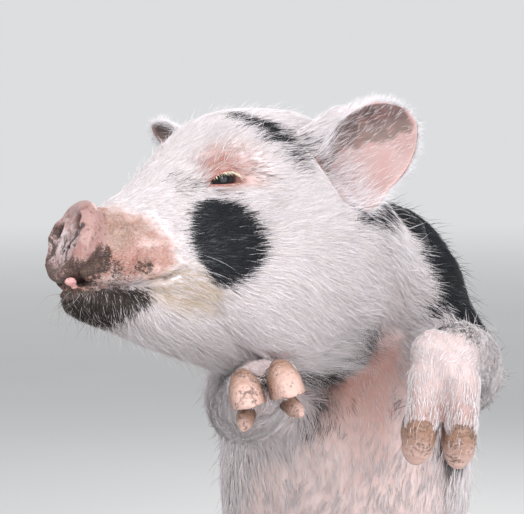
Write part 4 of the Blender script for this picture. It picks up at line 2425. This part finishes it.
    @staticmethod
    def colours(
        places: Array, share: Array, turn: Array, inner: Array, markings: Markings
    ) -> Array:
        """Pale pink skin with a brown-grey blotch over the upper inside and a warmer rim.

        Args:
            places: the ear's points.
            share: how far each is along the ear.
            turn: how far each is across it, from edge to edge.
            inner: 1 on the inside, 0 on the back.
            markings: the pig's colours.

        Returns:
            A colour for each point.
        """
        count = len(share)
        pink = mix(np.tile(srgb(178, 154, 152), (count, 1)), srgb(168, 136, 132), mottle(places, 0.012, 41))
        cloud = (mottle(places, 0.01, 42) - 0.5) * 0.34 + (mottle(places, 0.004, 43) - 0.5) * 0.2
        shares = (0.0, 0.2, 0.35, 0.56, 0.72, 0.88, 1.0)
        edge = np.interp(share, shares, (-0.25, 0.0, 0.12, 0.06, -0.12, -0.42, -0.6))
        blotch = ramp(turn + cloud - edge, -0.05, 0.12) * ramp(share, 1.0, 0.95) * inner
        high = ramp(turn + cloud - edge, 0.25, 0.75)[:, None]
        brown = srgb(112, 94, 88) * (1.0 - high) + srgb(68, 48, 45) * high
        blotch = (blotch * (0.75 + 0.25 * mottle(places, 0.006, 44)))[:, None]
        colour = pink * (1.0 - blotch) + brown * blotch
        front = ramp(share, 0.12, -0.02) * inner
        colour = mix(colour, srgb(206, 146, 130), front * 0.6)
        rim = ramp(-turn, 0.92, 0.99)
        colour = mix(colour, srgb(206, 164, 154), rim * 0.7)
        return np.clip(mix(colour, markings.PINK, (1.0 - inner) * (1.0 - rim) * 0.8), 0.0, 1.0)

    def grow_hair(
        self,
        thing: Piece,
        share: Array,
        turn: Array,
        inner: Array,
        coat: Material,
        markings: Markings,
    ) -> None:
        """Fine white hairs: close on the back, long at the base inside, a fringe on the rim.

        Args:
            thing: the ear's leaf.
            share: how far each of its points is along the ear.
            turn: how far each is across it.
            inner: 1 on the inside, 0 on the back.
            coat: the hairs' material.
            markings: the pig's colours.
        """
        random = np.random.default_rng(self.seed)
        mesh = thing.data
        places, normals, corners = places_of(mesh), normals_of(mesh), corners_of(mesh)
        base = ramp(share, 0.42, 0.1) * ramp(turn, 0.5, -0.2)
        weight = (1.0 - inner) + inner * (0.05 + 0.5 * base + 0.04 * ramp(turn, 0.0, 0.5))
        weight += ramp(np.abs(turn), 0.88, 0.97) * 0.5
        weight = areas_of(places, corners) * weight[corners].min(axis=1) * (share[corners].min(axis=1) > 0.0)
        count = self.hairs // 1
        picked = corners[random.choice(len(corners), count, p=weight / weight.sum())]
        roots, normal = scattered(picked, places, normals, random)
        at_share, at_turn, at_inner = (values[picked].mean(1) for values in (share, turn, inner))
        _, length, across, facing = (np.array(HEAD.to_3x3() @ axis) for axis in self.axes())
        outward = np.sign(at_turn)[:, None] * across
        on_rim = ramp(np.abs(at_turn), 0.8, 0.96)
        ways = length + outward * (0.25 + 0.75 * on_rim)[:, None] + random.normal(0.0, 0.22, (count, 3))
        ways = along_skin(ways, normal)
        inside = at_inner * ramp(at_share, 0.6, 0.1)
        lengths = (0.008 + 0.008 * inside + 0.001 * on_rim) * random.uniform(0.55, 1.25, count)
        lifts = random.uniform(0.05, 0.2, count) + 0.12 * at_inner + 0.1 * (random.random(count) < 0.05)
        bend = np.where(at_inner > 0.5, 1.0, -1.0)[:, None] * facing * (lengths**2 * 6.0)[:, None]
        tips = roots + ways * lengths[:, None] + normal * (lifts * lengths)[:, None] + bend * 0.35
        widths = (0.0003 - 0.0001 * at_inner) * 1.0
        tip = markings.WHITE * random.uniform(0.88, 1.0, count)[:, None]
        round_ear = 0.01 + (at_turn * 0.5 + 0.5) * 0.47 + at_inner.round() * 0.49
        flat = np.clip(np.column_stack([round_ear, 0.01 + at_share * 0.96]), 0.0, 0.99)
        growth = Growth(roots, tips, normal, widths, tip * 0.94, tip, flat)
        BristleMesh(grip=0.12).build(self.name + "_hair", growth, coat, Slot.EAR)


class Eyes:
    """The eyeballs, the wet edges of the lids and the lashes."""

    seed = 17

    def build(self, coat: Material) -> None:
        """Make both eyes."""
        finish, lid = EyeFinish().material(), LidFinish().material()
        for sign, side in ((1, "left"), (-1, "right")):
            self.ball(sign, side, finish)
            self.edges(sign, side, lid)
            self.lashes(sign, side, coat)

    @staticmethod
    def gaze(sign: int) -> Vector:
        """Which way the eye looks, in the head's frame."""
        return Vector((0.28, sign * 0.93, 0.02)).normalized()

    def ball(self, sign: int, side: str, finish: Material) -> None:
        """The eyeball, with the cornea's bulge over the iris.

        Args:
            sign: 1 for the left, -1 for the right.
            side: left or right, for the piece's name.
            finish: the piece's material.
        """
        bm = bmesh.new()
        oval(bm, HEAD @ Matrix.Translation(mirrored(EYE_AT, sign)), (EYE_RADIUS,) * 3, 64, 48)
        thing = new_object("eyeball_" + side, bm)
        middle = np.array(HEAD @ mirrored(EYE_AT, sign))
        gaze = np.array((HEAD.to_3x3() @ self.gaze(sign)).normalized())
        places = places_of(thing.data)
        way = unit(places - middle)
        ring = np.arccos(np.clip(way @ gaze, -1.0, 1.0))
        places += way * (0.0007 * ramp(ring, 0.62, 0.3))[:, None]
        move_points(thing.data, places)
        value_points(thing.data, "ring", ring)
        settle(thing, finish, ("eye_" + side,))

    @staticmethod
    def margin(sign: int, upper: bool, count: int, out_by: float) -> list[Vector]:
        """Points along one lid's edge, in the world.

        Args:
            sign: 1 for the left, -1 for the right.
            upper: whether it is the upper lid.
            count: how many points to make.
            out_by: how far the points stand off the ball, in metres.

        Returns:
            The points in order.
        """
        forward, up, half, rise, drop, tilt = EYE_SLIT
        points = []
        for along in np.linspace(-half, half, count):
            share = max(0.0, 1.0 - (along / half) ** 2)
            over = rise * share**0.75 * (1.0 + 0.18 * along / half) if upper else -drop * share
            x = forward + along * math.cos(tilt) - over * math.sin(tilt)
            z = up + along * math.sin(tilt) + over * math.cos(tilt)
            dx, dz = x - EYE_AT[0], z - EYE_AT[2]
            y = EYE_AT[1] + math.sqrt(max(0.0, (EYE_RADIUS + out_by) ** 2 - dx * dx - dz * dz))
            points.append(HEAD @ Vector((x, sign * y, z)))
        return points

    def edges(self, sign: int, side: str, finish: Material) -> None:
        """The moist edge along each lid.

        Args:
            sign: 1 for the left, -1 for the right.
            side: left or right, for the piece's name.
            finish: the piece's material.
        """
        bm = bmesh.new()
        for upper, radius in ((True, 0.0009), (False, 0.0007)):
            points = self.margin(sign, upper, 15, 0.0009)
            limb(bm, [(point, radius) for point in points], 3, 12)
        thing = new_object("lid_edges_" + side, bm)
        settle(thing, finish)

    def lashes(self, sign: int, side: str, coat: Material) -> None:
        """Cream lashes that hang over the eye, longer on the upper lid.

        Args:
            sign: 1 for the left, -1 for the right.
            side: left or right, for the piece's name.
            coat: the hairs' material.
        """
        random = np.random.default_rng(self.seed)
        outward = np.array((HEAD.to_3x3() @ Vector((0, sign, 0))).normalized())
        up = np.array(HEAD.to_3x3() @ Vector((0, 0, 1)))
        back = np.array(HEAD.to_3x3() @ Vector((-1, 0, 0)))
        rows = []
        for upper, count, reach in ((True, 84, 0.007), (False, 26, 0.003)):
            points = np.array([tuple(p) for p in self.margin(sign, upper, 60, 0.0016)])
            for pick in random.uniform(2, 57, count).astype(int):
                lean = (pick / 59.0 - 0.5) * -1.1
                way = outward * 0.8 + up * (-0.55 if upper else -0.5) + back * lean + random.normal(0, 0.1, 3)
                way = way / np.linalg.norm(way) * reach * random.uniform(0.7, 1.1)
                off = outward * 0.8 + up * 0.6 if upper else outward
                rows.append((points[pick], points[pick] + way, off / np.linalg.norm(off)))
        roots, tips, normals = (np.array([row[i] for row in rows]) for i in range(3))
        count = len(rows)
        tint = np.tile(Markings.LASH, (count, 1)) * random.uniform(0.85, 1.0, count)[:, None]
        flat = np.column_stack([np.linspace(0.01, 0.98, count), np.full(count, 0.5)])
        growth = Growth(roots, tips, normals, np.full(count, 0.00034), tint * 0.8, tint, flat)
        BristleMesh().build("lashes_" + side, growth, coat, Slot.HIDE)


@dataclass
class Trotters:
    """The horny claws and dewclaws of one foot."""

    foot: str
    stations: tuple = (
        (0.02, 0.66, 0.38),
        (0.12, 0.88, 0.62),
        (0.32, 1.0, 1.0),
        (0.56, 0.98, 0.9),
        (0.78, 0.82, 0.62),
        (0.93, 0.52, 0.32),
        (1.0, 0.22, 0.14),
    )

    def build(self, finish: Material) -> None:
        """Make the foot's claws as one piece.

        Args:
            finish: the piece's material.
        """
        bm = bmesh.new()
        along: list[float] = []
        for sign in (1, -1):
            along += self.claw(bm, claw_frame(self.foot, sign))
            along += self.dewclaw(bm, sign)
        thing = new_object(self.foot + "_horn", bm)
        values = np.array(along)
        places = places_of(thing.data)
        places += normals_of(thing.data) * ((mottle(places, 0.007, 51) - 0.5) * 0.0012)[:, None]
        move_points(thing.data, places)
        value_points(thing.data, "along", values)
        value_points(thing.data, "growth", values + (mottle(places, 0.02, 52) - 0.5) * 0.05)
        ends = ("claw_a", "claw_b", "dewclaw_a", "dewclaw_b")
        settle(thing, finish, tuple(f"{self.foot}_{end}" for end in ends))

    def claw(self, bm: BMesh, frame: Matrix) -> list[float]:
        """Add one claw: a flat sole, a steep wall and a round toe.

        Args:
            bm: the mesh that takes the form.
            frame: the frame that it lies in.

        Returns:
            How far along the claw each new point lies, from 0 to 1.
        """
        side, up = (frame.to_3x3() @ Vector(way) for way in ((1, 0, 0), (0, 0, 1)))
        sole = 0.0012
        rings, along = [], []
        for share, width, height in smooth_rows(list(self.stations), 6):
            middle = frame @ Vector((0, share * CLAW_LENGTH, sole))
            sizes = (width * CLAW_WIDTH / 2, height * CLAW_HEIGHT - sole, sole)
            rings.append(egg_ring(middle, side, up, sizes, 36, 2.3))
            along += [share] * 36
        loft(bm, rings)
        return along

    def dewclaw(self, bm: BMesh, sign: int) -> list[float]:
        """Add one short cone behind the fetlock.

        Args:
            bm: the mesh that takes the form.
            sign: 1 for the left, -1 for the right.

        Returns:
            How far along it each new point lies, from 0 to 1.
        """
        frame = foot_frame(self.foot)
        root = frame @ Vector((sign * 0.015, 0.005, -0.015))
        way = (frame.to_3x3() @ Vector((sign * 0.3, 0.78, -0.55))).normalized()
        tip = root + way * DEWCLAW_LENGTH
        before = len(bm.verts)
        limb(bm, [(root, 0.0068), ((root + tip) / 2, 0.0064), (tip, 0.003)], 5, 20)
        bm.verts.ensure_lookup_table()
        made = [bm.verts[i].co - root for i in range(before, len(bm.verts))]
        return [max(0.0, offset.dot(way) / DEWCLAW_LENGTH) for offset in made]


class Whiskers:
    """Long single bristles: on the chin and lips, over the cheek patch and round the feet."""

    rings = 6
    seed = 23

    def build(self, skin: Piece, markings: Markings, coat: Material) -> None:
        """Make every long bristle as one piece.

        Args:
            skin: the skin that the hairs grow from.
            markings: the pig's colours.
            coat: the hairs' material.
        """
        random = np.random.default_rng(self.seed)
        places, normals = places_of(skin.data), normals_of(skin.data)
        marks = markings.read(places)
        head = marks.head
        forward, _, up = head.T
        cheek = ramp(forward, -0.1, -0.07) * ramp(forward, -0.045, -0.06)
        cheek = cheek * ramp(up, -0.008, -0.018) * ramp(up, -0.05, -0.04)
        feet = marks.limb * ramp(marks.limb_share, 0.9, 0.95) * marks.legs
        lists = (
            (ramp(forward, -0.012, 0.006) * ramp(up, -0.034, -0.04), 26, 0.022, (0.6, 0.0, -0.9), 0.8),
            (ramp(forward, -0.04, -0.01) * ramp(up, -0.044, -0.054), 26, 0.015, (0.1, 0.0, -1.0), 0.55),
            (cheek, 60, 0.03, (-1.0, 0.35, -0.45), 0.3),
            (ramp(up, 0.04, 0.06) * marks.on_head, 110, 0.014, (-0.6, 0.2, 0.9), 0.7),
            (feet, 160, 0.01, (0.0, 0.0, 0.0), 0.15),
        )
        rows = []
        for weight, count, reach, lean, lift in lists:
            if weight.sum() <= 0:
                continue
            picks = random.choice(len(places), count, p=weight / weight.sum())
            sign = np.where(head[picks, 1] < 0, -1.0, 1.0)
            leaning = np.tile(lean, (count, 1)).astype(float)
            leaning[:, 1] *= sign
            way = turned(leaning, HEAD) if any(lean) else marks.limb_way[picks]
            way = unit(way + random.normal(0.0, 0.25, (count, 3)))
            start = unit(way * (1.0 - lift) + normals[picks] * lift)
            dull = (marks.mud[picks] * random.uniform(0.4, 1.0, count))[:, None]
            colour = markings.WHITE * (1.0 - dull) + markings.DULL_HAIR * dull
            sizes = (random.uniform(0.6, 1.25, count) * reach)[:, None]
            rows.append((places[picks], start, way, sizes, colour))
        roots, start, way, reach, colour = (np.concatenate(column) for column in zip(*rows))
        tubes, shares, faces = self.tubes(roots, start, way, reach)
        count = len(roots)
        loops = np.concatenate(faces)
        spot = np.column_stack([np.arange(count) % 40, np.arange(count) // 40]) / 41.0 + 0.005
        within_one = np.column_stack([(loops % 3) * 0.001, shares[loops] * 0.003])
        mesh = repeated_mesh("whiskers", tubes, faces, spot[:, None, :] + within_one)
        mesh.validate()
        tint = colour * random.uniform(0.75, 1.0, count)[:, None]
        colour_points(mesh, "tint", np.repeat(tint, len(shares), axis=0))
        settle(linked("whiskers", mesh), coat)

    def tubes(self, roots: Array, start: Array, way: Array, reach: Array) -> tuple[Array, Array, tuple]:
        """Bend and taper each bristle as a thin three-sided tube with a pointed end.

        Args:
            roots: where they stand, one a row.
            start: the way each leaves the skin.
            way: the way each points further out.
            reach: the length of each, in metres.

        Returns:
            The points by bristle, point and axis, each point's share of the length, and the
            faces of one bristle.
        """
        tilted = np.tile((0.3, 0.5, 0.8), (len(roots), 1))
        droop = np.array((0.0, 0.0, -0.35))
        rows, shares = [], []
        for i in range(self.rings + 1):
            share = i / self.rings
            spine = roots + start * (reach * (share - 0.5 * share**2))
            spine = spine + (way + droop * share) * (reach * 0.5 * share**2)
            along = unit(start * (1 - share) + way * share)
            side = unit(np.cross(along, tilted))
            up = np.cross(side, along)
            width = 0.00014 * (1.0 - share) ** 0.7 + 0.00001
            for angle in (0.0, 2.1, 4.2):
                rows.append(spine + side * (width * math.cos(angle)) + up * (width * math.sin(angle)))
                shares.append(share)
        per = len(rows)
        faces = [
            (3 * i + k, 3 * i + (k + 1) % 3, 3 * i + (k + 1) % 3 + 3, 3 * i + k + 3)
            for i in range(self.rings)
            for k in range(3)
        ]
        faces += [(2, 1, 0), (per - 3, per - 2, per - 1)]
        return np.stack(rows, axis=1), np.array(shares), tuple(faces)


@dataclass
class Stand:
    """The plain oak base that the hind feet stand on."""

    size: tuple[float, float, float] = (0.42, 0.52, 0.02)
    middle_y: float = 0.06
    bevel: float = 0.003

    def build(self) -> None:
        """Make the base and dress it."""
        bm = bmesh.new()
        bmesh.ops.create_cube(bm, size=1.0)
        bmesh.ops.scale(bm, vec=self.size, verts=bm.verts)
        bmesh.ops.translate(bm, vec=(0, self.middle_y, self.size[2] / 2), verts=bm.verts)
        rim = [edge for edge in bm.edges if all(vert.co.z > self.size[2] / 2 for vert in edge.verts)]
        bmesh.ops.bevel(bm, geom=rim, offset=self.bevel, segments=5, profile=0.5, affect="EDGES", material=-1)
        thing = new_object("oak_base", bm, smooth=False)
        settle(thing, BaseFinish().material(), ("stand_base",))


@dataclass
class Studio:
    """Pale floor, soft lights and the camera at the photograph's place."""

    camera_at: tuple[float, float, float] = (-0.077, -1.25, 0.742)
    camera_down: float = math.radians(4.0)
    lens: float = 1533 / 524 * 36

    def build(self) -> None:
        """Set up the studio."""
        scene = bpy.context.scene
        self.floor()
        camera = linked("camera", bpy.data.cameras.new("camera"))
        camera.data.lens = self.lens
        camera.data.sensor_width = 36.0
        camera.location = self.camera_at
        camera.rotation_euler = (math.pi / 2 - self.camera_down, 0, 0)
        scene.camera = camera
        scene.view_settings.view_transform = "Standard"
        self.light("key", (-1.1, -1.4, 2.4), 1.7, 38.0, (1.0, 0.99, 0.995))
        self.light("fill", (1.0, -1.8, 1.3), 1.8, 50.0, (0.98, 0.985, 1.0))
        self.light("rim", (0.6, 1.7, 1.9), 1.4, 26.0, (1.0, 1.0, 1.0))
        world = bpy.data.worlds.new("studio air")
        world.use_nodes = True
        air = world.node_tree.nodes["Background"].inputs
        air["Color"].default_value = (0.8, 0.81, 0.82, 1.0)
        air["Strength"].default_value = 0.9
        scene.world = world

    @staticmethod
    def light(name: str, place: tuple, size: float, power: float, colour: tuple) -> None:
        """Add one soft square light that faces the pig's chest.

        Args:
            name: the name that it gets.
            place: where it hangs.
            size: the length of its side, in metres.
            power: its power in watts.
            colour: its colour.
        """
        lamp = bpy.data.lights.new(name, "AREA")
        lamp.size = size
        lamp.energy = power
        lamp.color = colour
        thing = linked(name, lamp)
        thing.location = place
        way = Vector((0.0, -0.02, 0.58)) - Vector(place)
        thing.rotation_euler = way.to_track_quat("-Z", "Y").to_euler()

    @staticmethod
    def floor() -> None:
        """A wide pale floor."""
        bm = bmesh.new()
        bmesh.ops.create_grid(bm, x_segments=8, y_segments=8, size=30.0)
        thing = new_object("floor", bm, smooth=False)
        shader = Shader("pale floor", Roughness=0.75, Specular_IOR_Level=0.0, Emission_Strength=1.0)
        cloud = shader.grain(0.9, 3.0)
        length = shader.node("ShaderNodeVectorMath", {"operation": "LENGTH"}, {0: shader.places()}, "Value")
        far = length.step(1.5, 15.0)
        pale = shader.blend((0.55, 0.55, 0.55), (0.6, 0.6, 0.6), cloud)
        shader.feed(
            Base_Color=shader.blend(pale, (0.0, 0.0, 0.0), far),
            Emission_Color=shader.blend((0.0, 0.0, 0.0), (0.72, 0.729, 0.738), far),
        )
        thing.data.materials.append(shader.material)


EARS = (
    Ear("ear_left", 0.081, (-0.186, 0.054, 0.04), (-0.85, 0.38, 0.4), (0.33, -0.2, 0.92)),
    Ear("ear_right", 0.098, (-0.185, -0.05, 0.05), (0.42, -0.66, 0.62), (0.62, 0.6, 0.5), seed=12),
)


def main() -> None:
    """Build the pig's looks in order and report each piece."""
    logging.basicConfig(level=logging.INFO, format="%(message)s")
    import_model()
    markings = Markings()
    skin = Hide(markings).build()
    Coat(markings, skin).build()
    coat = CoatFinish().material()
    Snout().build()
    ear_finish = EarFinish().material()
    for ear in EARS:
        ear.build(markings, ear_finish, coat)
    Eyes().build(coat)
    Whiskers().build(skin, markings, coat)
    horn = ClawFinish().material()
    for foot in FEET:
        Trotters(foot).build(horn)
    Stand().build()
    Studio().build()


if __name__ == "__main__":
    main()
